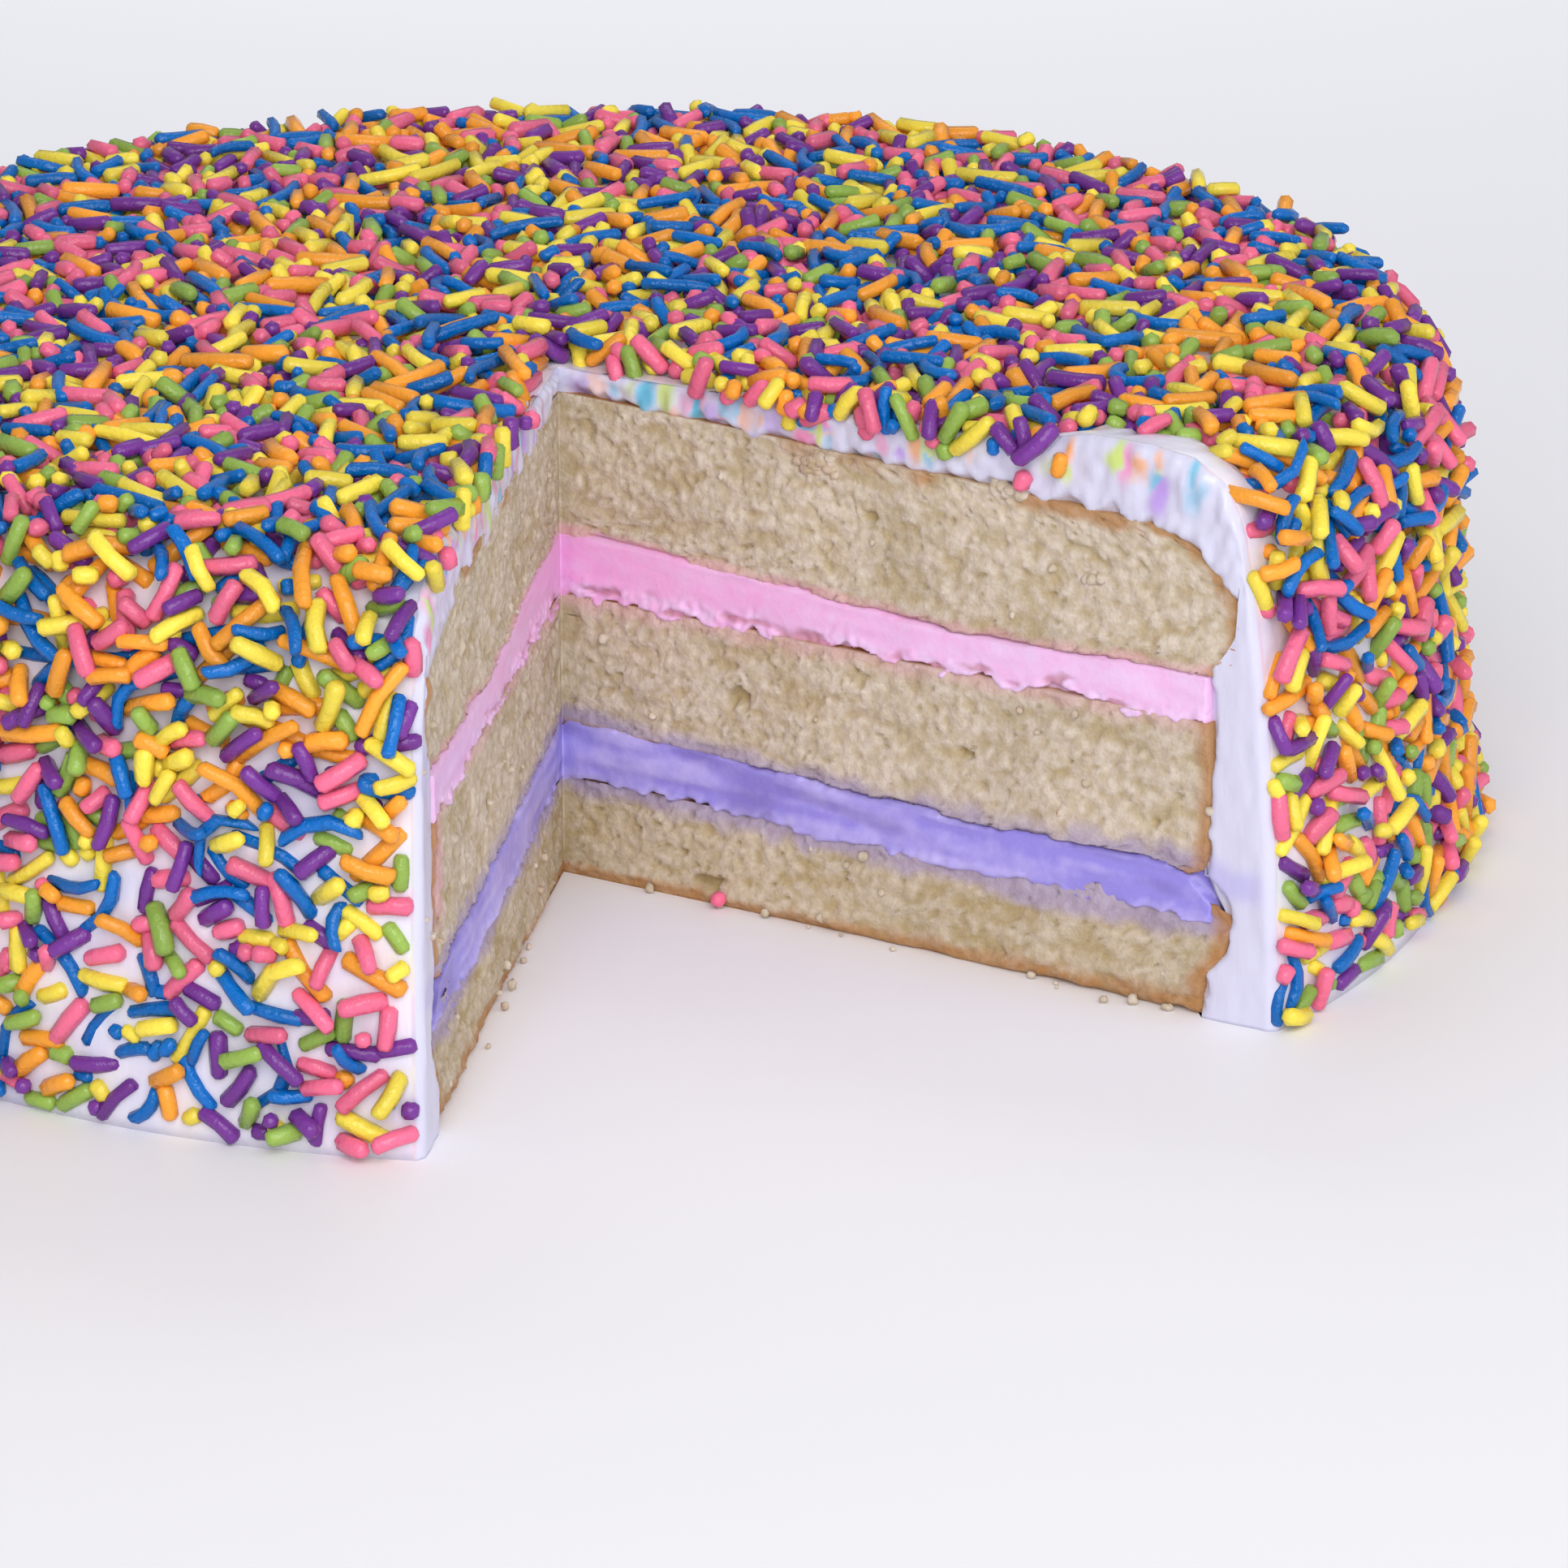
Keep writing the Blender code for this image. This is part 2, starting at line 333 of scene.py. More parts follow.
def into_slice(spots):
    """How far inside the missing slice points are, negative on the cake."""
    return np.minimum(RIGHT.beyond(spots), LEFT.beyond(spots))


# ---- meshes


class Patchwork:
    """Grids of points and the triangles between them, for one closed mesh."""

    def __init__(self, *layers):
        self.layers = layers
        self.places = []
        self.values = {layer: [] for layer in layers}
        self.triangles = []
        self.count = 0

    def add(self, points, **values):
        """Adds a grid of points with its values, and gives back their numbers."""
        shape = points.shape[:-1]
        size = int(np.prod(shape))
        self.places.append(points.reshape(size, 3))
        for layer in self.layers:
            given = np.broadcast_to(values.get(layer, 0.0), shape)
            self.values[layer].append(given.reshape(size))
        numbers = np.arange(self.count, self.count + size).reshape(shape)
        self.count += size
        return numbers

    def at(self, numbers):
        """The places of numbered points."""
        return np.concatenate(self.places)[numbers]

    def fill(self, numbers):
        """Covers a grid of numbered points with triangles."""
        a, b, c, d = numbers[:-1, :-1], numbers[1:, :-1], numbers[1:, 1:], numbers[:-1, 1:]
        for trio in ((a, b, c), (a, c, d)):
            self.triangles.append(np.stack(trio, -1).reshape(-1, 3))

    def join(self, fine, coarse):
        """Triangles between two rows, the fine one with a whole number of steps to each coarse step."""
        ratio = (len(fine) - 1) // (len(coarse) - 1)
        steps = np.arange(len(fine) - 1)
        near = coarse[(steps + ratio // 2) // ratio]
        middles = np.arange(len(coarse) - 1) * ratio + ratio - ratio // 2
        self.triangles.append(np.stack([fine[:-1], fine[1:], near], -1))
        self.triangles.append(np.stack([coarse[:-1], fine[middles], coarse[1:]], -1))

    def finish(self, name, material):
        """Merges points that lie together and links the mesh as an object."""
        places = np.concatenate(self.places)
        triangles = np.concatenate(self.triangles)
        _, first, merged = np.unique(np.round(places, 3), axis=0, return_index=True, return_inverse=True)
        triangles = merged.reshape(-1)[triangles]
        whole = (triangles != np.roll(triangles, 1, axis=1)).all(1)
        values = {layer: np.concatenate(self.values[layer])[first] for layer in self.layers}
        return link_mesh(name, places[first], triangles[whole], values, material, closed=True)


def link_mesh(name, places, triangles, values, material, closed=False):
    """A new smooth object from points in millimetres, triangles and a value for each point."""
    mesh = bpy.data.meshes.new(name)
    mesh.from_pydata((places * MM).tolist(), [], triangles.tolist())
    if closed:
        builder = bmesh.new()
        builder.from_mesh(mesh)
        bmesh.ops.recalc_face_normals(builder, faces=builder.faces)
        builder.to_mesh(mesh)
        builder.free()
    for layer, numbers in values.items():
        made = mesh.attributes.new(layer, "FLOAT", "POINT")
        made.data.foreach_set("value", numbers.astype(np.float32))
    mesh.shade_smooth()
    mesh.materials.append(material)
    made = bpy.data.objects.new(name, mesh)
    bpy.context.scene.collection.objects.link(made)
    return made


def section_grid(bottom, side, top, across, up):
    """(radius, height) points that fill the outline of three runs and the axis."""
    low = resampled(bottom, across + 1)[:, None]
    high = resampled(top, across + 1)[:, None]
    wall = resampled(side, up + 1)[None]
    u = np.linspace(0, 1, across + 1)[:, None, None]
    v = np.linspace(0, 1, up + 1)[None, :, None]
    inner = low[:1] + (high[:1] - low[:1]) * v
    at_axis = (1 - v) * low[:1] + v * high[:1]
    at_side = (1 - v) * low[-1:] + v * high[-1:]
    corners = (1 - u) * at_axis + u * at_side
    return (1 - v) * low + v * high + (1 - u) * inner + u * wall - corners


def steps_for(length, step, group):
    """How many steps cover a length, as whole groups."""
    return max(1, round(length / step / group)) * group


def face_points(cut, grid, push, lift):
    """A grid of the section on a cut, pushed out of its plane and lifted."""
    points = place(cut.angle, grid[..., 0], grid[..., 1] + lift)
    settled = ramp(0, 3.0, np.linalg.norm(points[..., :2] - APEX, axis=-1))
    return points + (push * settled)[..., None] * cut.facing


# Distances from the apex, and how far the fillings' edges run above their usual heights there.
DRIFT_PLACES = (0.0, 10.0, 20.0, 30.0, 45.0, 60.0, 75.0, 85.0, 100.0)
PINK_TOP_DRIFT = (2.6, 2.2, 1.7, 1.2, 0.2, -0.7, -0.4, 0.0, 0.1)
LAVENDER_TOP_DRIFT = (1.6, 0.9, 0.4, 0.1, -0.7, -1.4, -1.2, -0.8, -0.2)
LAVENDER_LOW_DRIFT = (0.2, 0.0, -0.3, -0.5, -0.8, -1.4, -1.6, -1.6, -1.2)


def drift(along, heights):
    """How far a filling's edge runs above its usual height, at distances from the apex."""
    return np.interp(along, DRIFT_PLACES, heights)


def edge_noise(along, size, seed):
    """Noise that changes along a cut only, for the run of an edge."""
    return noise(np.stack([along, 0 * along], -1), size, seed)


# The plain body behind a cut face starts this far round from it, has one point to each group of
# the face's, and takes this many steps round the cake.
BEHIND = math.radians(1.2)
LAYER_GROUP = 8
SWEEP_STEPS = 72


def layer_mesh(name, runs, face_step, layers, relief, material):
    """A closed layer: a fine face in relief on each cut, and a plain body swept between them."""
    bottom, side, top = runs
    across = steps_for(bottom[-1][0], face_step, LAYER_GROUP)
    up = steps_for(abs(top[0][1] - bottom[0][1]), face_step, LAYER_GROUP)
    grid = section_grid(bottom, side, top, across, up)
    work = Patchwork(*layers)
    sweep = np.linspace(START + BEHIND, END - BEHIND, SWEEP_STEPS)
    step = LAYER_GROUP
    edge = np.concatenate([grid[::step, 0], grid[-1, step::step], grid[-step - 1 :: -step, -1]])
    body = work.add(place(sweep[:, None], edge[None, :, 0], edge[None, :, 1]), brown=1.0)
    work.fill(body)
    wide, tall = across // step, up // step
    for cut, row in ((RIGHT, 0), (LEFT, -1)):
        lengths = ray_length(cut.angle, grid[..., 0])
        push, lift, values = relief(np.stack([lengths, grid[..., 1]], -1), grid, cut)
        face = work.add(face_points(cut, grid, push, lift), **values)
        work.fill(face)
        work.join(face[:, 0], body[row, : wide + 1])
        work.join(face[-1], body[row, wide : wide + tall + 1])
        work.join(face[::-1, -1], body[row, wide + tall :])
    return work.finish(name, material)


# ---- materials


def add_node(tree, kind, inputs=None, **settings):
    """Adds a node, sets its properties, then sets or links its inputs by name or number."""
    made = tree.nodes.new(kind)
    for name, value in settings.items():
        setattr(made, name, value)
    for name, value in (inputs or {}).items():
        if isinstance(value, bpy.types.NodeSocket):
            tree.links.new(value, made.inputs[name])
        else:
            made.inputs[name].default_value = value
    return made


def new_material(name, finish):
    """A node material with its output, its surface, whose finish is given, and the object's places."""
    made = bpy.data.materials.new(name)
    made.use_nodes = True
    tree = made.node_tree
    tree.nodes.clear()
    surface = add_node(tree, "ShaderNodeBsdfPrincipled", finish)
    add_node(tree, "ShaderNodeOutputMaterial", {"Surface": surface.outputs["BSDF"]})
    return made, tree, surface, add_node(tree, "ShaderNodeTexCoord").outputs["Object"]


def per_metre(millimetres):
    """Noise scale that makes details of that size."""
    return 1 / (millimetres * MM)


def roughen(tree, surface, spots, size, detail, strength, depth):
    """Gives a surface fine bumps of a size and depth in millimetres."""
    pattern = {"Vector": spots, "Scale": per_metre(size), "Detail": detail}
    bumps = add_node(tree, "ShaderNodeTexNoise", pattern).outputs["Fac"]
    heights = {"Height": bumps, "Strength": strength, "Distance": depth * MM}
    relief = add_node(tree, "ShaderNodeBump", heights)
    tree.links.new(relief.outputs["Normal"], surface.inputs["Normal"])


def opaque(colour):
    return (*colour, 1.0)


CRUMB_MATERIAL = "vanilla_sponge_torn_crumb"
CRUMB_LAYERS = ("pit", "brown", "pink", "violet")


def crumb_material(colours, sizes):
    """Vanilla sponge crumb, torn by the knife.

    The eye reads pale grains over darker pores, no shine, and a browned crust. The pores, holes, cracks and
    gaps between clumps, and the whole bottom layer, are darkened with painted shade.
    """
    finish = {"Roughness": 0.9, "IOR": 1.4, "Specular IOR Level": 0.25}
    made, tree, surface, spots = new_material(CRUMB_MATERIAL, finish)
    pit, brown, rose, violet = (
        add_node(tree, "ShaderNodeAttribute", attribute_name=name).outputs["Fac"] for name in CRUMB_LAYERS
    )
    grain_scale = per_metre(sizes.crumb_grain * 1.3)
    grain = add_node(tree, "ShaderNodeTexNoise", {"Vector": spots, "Scale": grain_scale, "Detail": 4.0})
    patches = add_node(
        tree, "ShaderNodeTexNoise", {"Vector": spots, "Scale": per_metre(14.0), "Detail": 3.0}
    )
    spread = add_node(
        tree, "ShaderNodeMapRange", {"Value": grain.outputs["Fac"], "From Min": 0.36, "From Max": 0.64}
    )
    colour = add_node(
        tree,
        "ShaderNodeMix",
        {
            MIX_FACTOR: spread.outputs["Result"],
            MIX_A: opaque(colours.crumb),
            MIX_B: opaque(colours.crumb_light),
        },
        data_type="RGBA",
    ).outputs[MIX_RESULT]
    # The first colour mixed in is painted shade in the pores, holes, cracks and gaps between clumps; then
    # the fillings' tints and the crust.
    layers = (
        (pit, colours.crumb_pore, 0.8),
        (rose, linear("#DCA6AE"), 0.65),
        (violet, linear("#A193BE"), 0.65),
        (brown, colours.crust, 0.9),
    )
    for amount, tint, strength in layers:
        factor = add_node(
            tree, "ShaderNodeMath", {0: amount, 1: strength}, operation="MULTIPLY", use_clamp=True
        )
        colour = add_node(
            tree,
            "ShaderNodeMix",
            {MIX_FACTOR: factor.outputs[0], MIX_A: colour, MIX_B: opaque(tint)},
            data_type="RGBA",
        ).outputs[MIX_RESULT]
    shade = add_node(
        tree,
        "ShaderNodeMapRange",
        {"Value": patches.outputs["Fac"], "From Min": 0.3, "From Max": 0.7, "To Min": 0.93, "To Max": 1.04},
    )
    toned = add_node(
        tree, "ShaderNodeHueSaturation", {"Color": colour, "Value": shade.outputs["Result"]}
    )
    roughen(tree, surface, spots, 0.5, 5.0, 0.5, 0.4)
    tree.links.new(toned.outputs["Color"], surface.inputs["Base Color"])
    return made


def filling_material(name, base, light, painted_shade_colour, roughness):
    """Whipped buttercream dragged by a knife: soft satin, with paler ridges and crumbs caught in it, and
    painted shade in its tears, folds and hollows.
    """
    made, tree, surface, spots = new_material(name, {"Roughness": roughness, "IOR": 1.45})
    tone = add_node(tree, "ShaderNodeAttribute", attribute_name="tone").outputs["Fac"]
    pit = add_node(tree, "ShaderNodeAttribute", attribute_name="pit").outputs["Fac"]
    mottle = add_node(tree, "ShaderNodeTexNoise", {"Vector": spots, "Scale": per_metre(2.4), "Detail": 5.0})
    both = add_node(tree, "ShaderNodeMath", {0: mottle.outputs["Fac"], 1: tone}, operation="ADD")
    share = add_node(
        tree, "ShaderNodeMapRange", {"Value": both.outputs[0], "From Min": 0.3, "From Max": 1.1}
    )
    colour = add_node(
        tree,
        "ShaderNodeMix",
        {MIX_FACTOR: share.outputs["Result"], MIX_A: opaque(base), MIX_B: opaque(light)},
        data_type="RGBA",
    )
    # The dark colour is painted shade, laid where the tears, folds and hollows sink in.
    deep = add_node(
        tree,
        "ShaderNodeMix",
        {MIX_FACTOR: pit, MIX_A: colour.outputs[MIX_RESULT], MIX_B: opaque(painted_shade_colour)},
        data_type="RGBA",
    )
    roughen(tree, surface, spots, 0.9, 4.0, 0.35, 0.3)
    tree.links.new(deep.outputs[MIX_RESULT], surface.inputs["Base Color"])
    return made


def frosting_material(colours):
    """White buttercream smoothed with a palette knife.

    The eye reads a dense, glossy and faintly cool skin, stained where the sprinkles' dyes ran. The same
    colour layer carries painted shade on the top between the rods and on the cut faces.
    """
    finish = {"Roughness": 0.3, "IOR": 1.46}
    made, tree, surface, spots = new_material("white_buttercream_smoothed", finish)
    dye = add_node(tree, "ShaderNodeAttribute", attribute_name="dye")
    soft = add_node(tree, "ShaderNodeTexNoise", {"Vector": spots, "Scale": per_metre(5.0), "Detail": 4.0})
    warmth = add_node(
        tree, "ShaderNodeMapRange", {"Value": soft.outputs["Fac"], "From Min": 0.35, "From Max": 0.65}
    )
    base = add_node(
        tree,
        "ShaderNodeMix",
        {
            MIX_FACTOR: warmth.outputs["Result"],
            MIX_A: opaque(colours.frosting),
            MIX_B: opaque(linear("#E0DEF2")),
        },
        data_type="RGBA",
    )
    # The dye attribute holds dye stains and also painted shade, on the top between the rods and on the cut
    # faces.
    dyed_and_shaded = add_node(
        tree,
        "ShaderNodeMix",
        {MIX_FACTOR: dye.outputs["Alpha"], MIX_A: base.outputs[MIX_RESULT], MIX_B: dye.outputs["Color"]},
        data_type="RGBA",
    )
    strokes = add_node(tree, "ShaderNodeMapping", {"Vector": spots, "Scale": (1.0, 1.0, 0.35)})
    roughen(tree, surface, strokes.outputs["Vector"], 1.6, 5.0, 0.35, 0.4)
    tree.links.new(dyed_and_shaded.outputs[MIX_RESULT], surface.inputs["Base Color"])
    return made


def rod_material(name, colour, glitter):
    """Sugar paste pressed through a die and glazed: satin, a little wet, with an uneven dyed skin."""
    finish = {"Roughness": 0.24, "Specular IOR Level": 0.36}
    made, tree, surface, spots = new_material(f"glazed_sugar_{name}", finish)
    tone = add_node(tree, "ShaderNodeAttribute", attribute_name="tone").outputs["Fac"]
    mottle = add_node(tree, "ShaderNodeTexNoise", {"Vector": spots, "Scale": per_metre(1.3), "Detail": 3.0})
    both = add_node(tree, "ShaderNodeMath", {0: tone, 1: mottle.outputs["Fac"]}, operation="ADD")
    value = add_node(
        tree,
        "ShaderNodeMapRange",
        {"Value": both.outputs[0], "From Min": -0.4, "From Max": 1.4, "To Min": 0.86, "To Max": 1.12},
    )
    toned = add_node(
        tree, "ShaderNodeHueSaturation", {"Color": opaque(colour), "Value": value.outputs["Result"]}
    ).outputs["Color"]
    # Blue rods get lighter specks painted into their colour as the glitter's glints: painted highlights.
    if glitter:
        specks = add_node(tree, "ShaderNodeTexVoronoi", {"Vector": spots, "Scale": per_metre(0.42)})
        painted_glint = add_node(
            tree,
            "ShaderNodeMapRange",
            {
                "Value": specks.outputs["Distance"],
                "From Min": 0.12,
                "From Max": 0.32,
                "To Min": 0.45,
                "To Max": 0.0,
            },
        )
        toned = add_node(
            tree,
            "ShaderNodeMix",
            {MIX_FACTOR: painted_glint.outputs["Result"], MIX_A: toned, MIX_B: opaque(linear("#1C8ADC"))},
            data_type="RGBA",
        ).outputs[MIX_RESULT]
    roughen(tree, surface, spots, 0.8, 3.0, 1.0 if glitter else 0.7, 0.3)
    tree.links.new(toned, surface.inputs["Base Color"])
    return made


# ---- sponge


# Larger holes seen on the right cut: distance from the apex, height, half width, half height and depth.
RIGHT_HOLES = [
    (27.8, 28.8, 2.2, 1.5, 1.6),
    (22.4, 2.9, 2.6, 1.2, 1.5),
    (19.0, 6.5, 1.2, 0.7, 0.9),
    (61.0, 27.5, 1.3, 0.8, 0.9),
    (88.0, 24.0, 1.0, 0.8, 0.8),
    (47.0, 56.0, 1.2, 0.7, 0.8),
    (73.0, 50.5, 1.3, 0.7, 0.8),
]


def crumb_relief(spots, cut, sizes, layer):
    """Relief of the crumb on a cut and its painted shade in pores, holes and between clumps, from distance
    along it and height.
    """
    seed = cut.seed + layer * 10
    along, height = spots[..., 0], spots[..., 1]
    warp = np.stack([noise(spots, 2.3, seed + 20), noise(spots, 2.3, seed + 21)], -1)
    bent = spots * [0.85, 1.15] + 0.8 * warp
    big, _ = grains(bent, sizes.crumb_grain, seed)
    small, _ = grains(bent, sizes.crumb_grain * 0.5, seed + 3)
    clump = 0.65 * noise(bent * [0.75, 1.2], 2.4, seed + 1) + 0.45 * noise(bent, 1.1, seed + 22)
    push = 0.38 * (0.5 - big) + 0.18 * (0.5 - small) + 0.3 * noise(spots, 9.0, seed) + 0.42 * clump
    gap, number = grains(bent * [0.8, 1.3], sizes.crumb_pore, seed + 5)
    pore = ramp(0.06 + 0.22 * number, 0.02, gap) * (number > 0.5)
    gap, number = grains(bent * [0.8, 1.3], 4.6, seed + 6)
    pore = np.maximum(pore, ramp(0.05 + 0.13 * number, 0.02, gap) * (number > 0.3))
    push -= 0.5 * pore
    # Painted shade: darker in the pores, in the hollows between clumps and towards the edges of the grains.
    pit = np.maximum(0.6 * pore, 0.6 * ramp(0.05, -0.6, clump)) + 0.2 * ramp(0.45, 0.75, big)
    if cut is RIGHT:
        for centre, level, wide, tall, depth in RIGHT_HOLES:
            bowl = np.hypot((along - centre) / wide, (height - level) / tall)
            bowl = ramp(1.15, 0.5, bowl + 0.45 * noise(spots, 1.3, seed + 7))
            push -= depth * bowl
            # The holes are darkened with painted shade.
            pit = np.maximum(pit, 1.1 * bowl)
    return push, np.clip(pit, 0, 1)


def edge_room(grid, top_height, bottom_height):
    """Distances in millimetres from a layer's lower and upper edges on a cut."""
    return grid[..., 1] - bottom_height, top_height - grid[..., 1]


def side_gap(spots, grid, cut):
    """Distance in millimetres from a layer's outer side, measured along a cut."""
    return ray_length(cut.angle, grid[-1:, :, 0]) - spots[..., 0]


def sponge_layers(context):
    """The three sponges: one closed mesh each, with the crumb's relief on both cuts."""
    sizes, colours = context.scene.cake_sizes, context.scene.cake_colours
    material = crumb_material(colours, sizes)

    def bottom_relief(spots, grid, cut):
        push, pit = crumb_relief(spots, cut, sizes, 1)
        along, height = spots[..., 0], spots[..., 1]
        below, above = edge_room(grid, BOTTOM_TOP, 0.0)
        rise = edge_noise(along, 2.3, cut.seed + 4)
        crust = 1.5 + 2.4 * (along / 105) ** 2 + 0.7 * noise(spots, 3.0, cut.seed + 8)
        outer = side_gap(spots, grid, cut)
        brown = np.maximum(0.85 * ramp(crust * 1.3, crust * 0.4, height), ramp(3.2, 0.5, outer))
        brown = np.clip(brown + 0.25 * brown * noise(spots, 1.1, cut.seed + 9), 0, 1)
        sunk = drift(along, LAVENDER_LOW_DRIFT)
        violet = ramp(2.6, 0.3, above + sunk + 0.9 * noise(spots, 2.5, cut.seed + 2))
        push = push * ramp(0, 0.8, below) - 0.5 * ramp(0.7, 0, below)
        lift = (0.35 + 0.3 * rise) * ramp(3.0, 0, below)
        # The bottom layer gets extra painted shade all over, less where it is crust.
        values = {"pit": np.clip(pit + 0.3, 0, 1) * (1 - 0.5 * brown), "brown": brown, "violet": violet}
        return push - 0.35 * ramp(0.5, 0, above), lift, values

    def middle_relief(spots, grid, cut):
        push, pit = crumb_relief(spots, cut, sizes, 2)
        along = spots[..., 0]
        below, above = edge_room(grid, MIDDLE_TOP, LAVENDER_TOP)
        outer = side_gap(spots, grid, cut)
        brown = 0.85 * ramp(2.6, 0.4, outer + 0.6 * noise(spots, 1.5, cut.seed + 9))
        rose = 0.7 * ramp(2.6, 0.3, above + 0.8 * noise(spots, 2.5, cut.seed + 3))
        if cut is LEFT:
            dragged = noise(spots * [0.5, 0.12], 1.6, cut.seed + 14)
            smear = ramp(74, 84, along) * ramp(22, 27, spots[..., 1]) * ramp(-0.2, 0.5, dragged)
            rose = np.maximum(rose, smear)
        violet = ramp(2.6, 0.2, below + 0.9 * noise(spots, 2.5, cut.seed + 2))
        crack = ramp(0.1, 0.5, edge_noise(along, 5.0, cut.seed + 12)) * ramp(30, 50, along)
        crack = crack * ramp(0.7, 0.2, below)
        push = push - 0.9 * crack
        # The crack is pushed in and darkened with painted shade.
        values = {"pit": np.maximum(pit, crack), "brown": brown, "pink": rose, "violet": violet}
        return push, drift(along, LAVENDER_TOP_DRIFT) * ramp(6.0, 0, below), values

    def top_relief(spots, grid, cut):
        push, pit = crumb_relief(spots, cut, sizes, 3)
        along, height = spots[..., 0], spots[..., 1]
        below = height - PINK_TOP
        crown = np.interp(grid[..., 0], *np.array(TOP_CROWN + TOP_SIDE[-2::-1]).T)
        near = np.where(grid[..., 0] < 100, crown - height, 9.0)
        outer = side_gap(spots, grid, cut)
        patchy = ramp(-0.35, 0.3, edge_noise(along, 5.0, cut.seed + 15))
        skin = ramp(24, 45, along) * patchy * ramp(2.4, 0.8, near + 0.5 * noise(spots, 2.0, cut.seed + 9))
        brown = 0.85 * np.maximum(skin, ramp(3.0, 0.6, outer + 0.8 * noise(spots, 1.6, cut.seed + 9)))
        rose = ramp(1.8, 0.2, below + 0.6 * noise(spots, 2.5, cut.seed + 3))
        crack = ramp(0.25, 0.6, edge_noise(along, 6.0, cut.seed + 13)) * ramp(0.6, 0.15, below)
        push = push - 0.9 * crack
        lift = drift(along, PINK_TOP_DRIFT) * ramp(7.0, 0, below)
        # The crack under the top edge is darkened with painted shade.
        return push, lift, {"pit": np.maximum(pit, crack), "brown": brown, "pink": rose}

    layers = {
        "bottom_sponge": (
            [(0, 0), BOTTOM_SIDE[0]],
            BOTTOM_SIDE,
            [(0, BOTTOM_TOP + 0.3), BOTTOM_SIDE[-1]],
            bottom_relief,
        ),
        "middle_sponge": (
            [(0, LAVENDER_TOP), (99.0, LAVENDER_TOP), MIDDLE_SIDE[0]],
            MIDDLE_SIDE,
            [(0, MIDDLE_TOP + 0.2), MIDDLE_SIDE[-1]],
            middle_relief,
        ),
        "top_sponge": ([(0, PINK_TOP), TOP_SIDE[0]], TOP_SIDE, TOP_CROWN, top_relief),
    }
    for name, (*runs, relief) in layers.items():
        made = layer_mesh(f"{name}_crumb", runs, sizes.face_step, CRUMB_LAYERS, relief, material)
        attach(made, "root")
        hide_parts(name)


# ---- fillings


# The fillings' paler ridges, and the darker colour painted as shade in their tears, folds and hollows.
PINK_SHADES = (linear("#ECC8EF"), linear("#B5656C"))
LAVENDER_SHADES = (linear("#C0B5F2"), linear("#5C4386"))


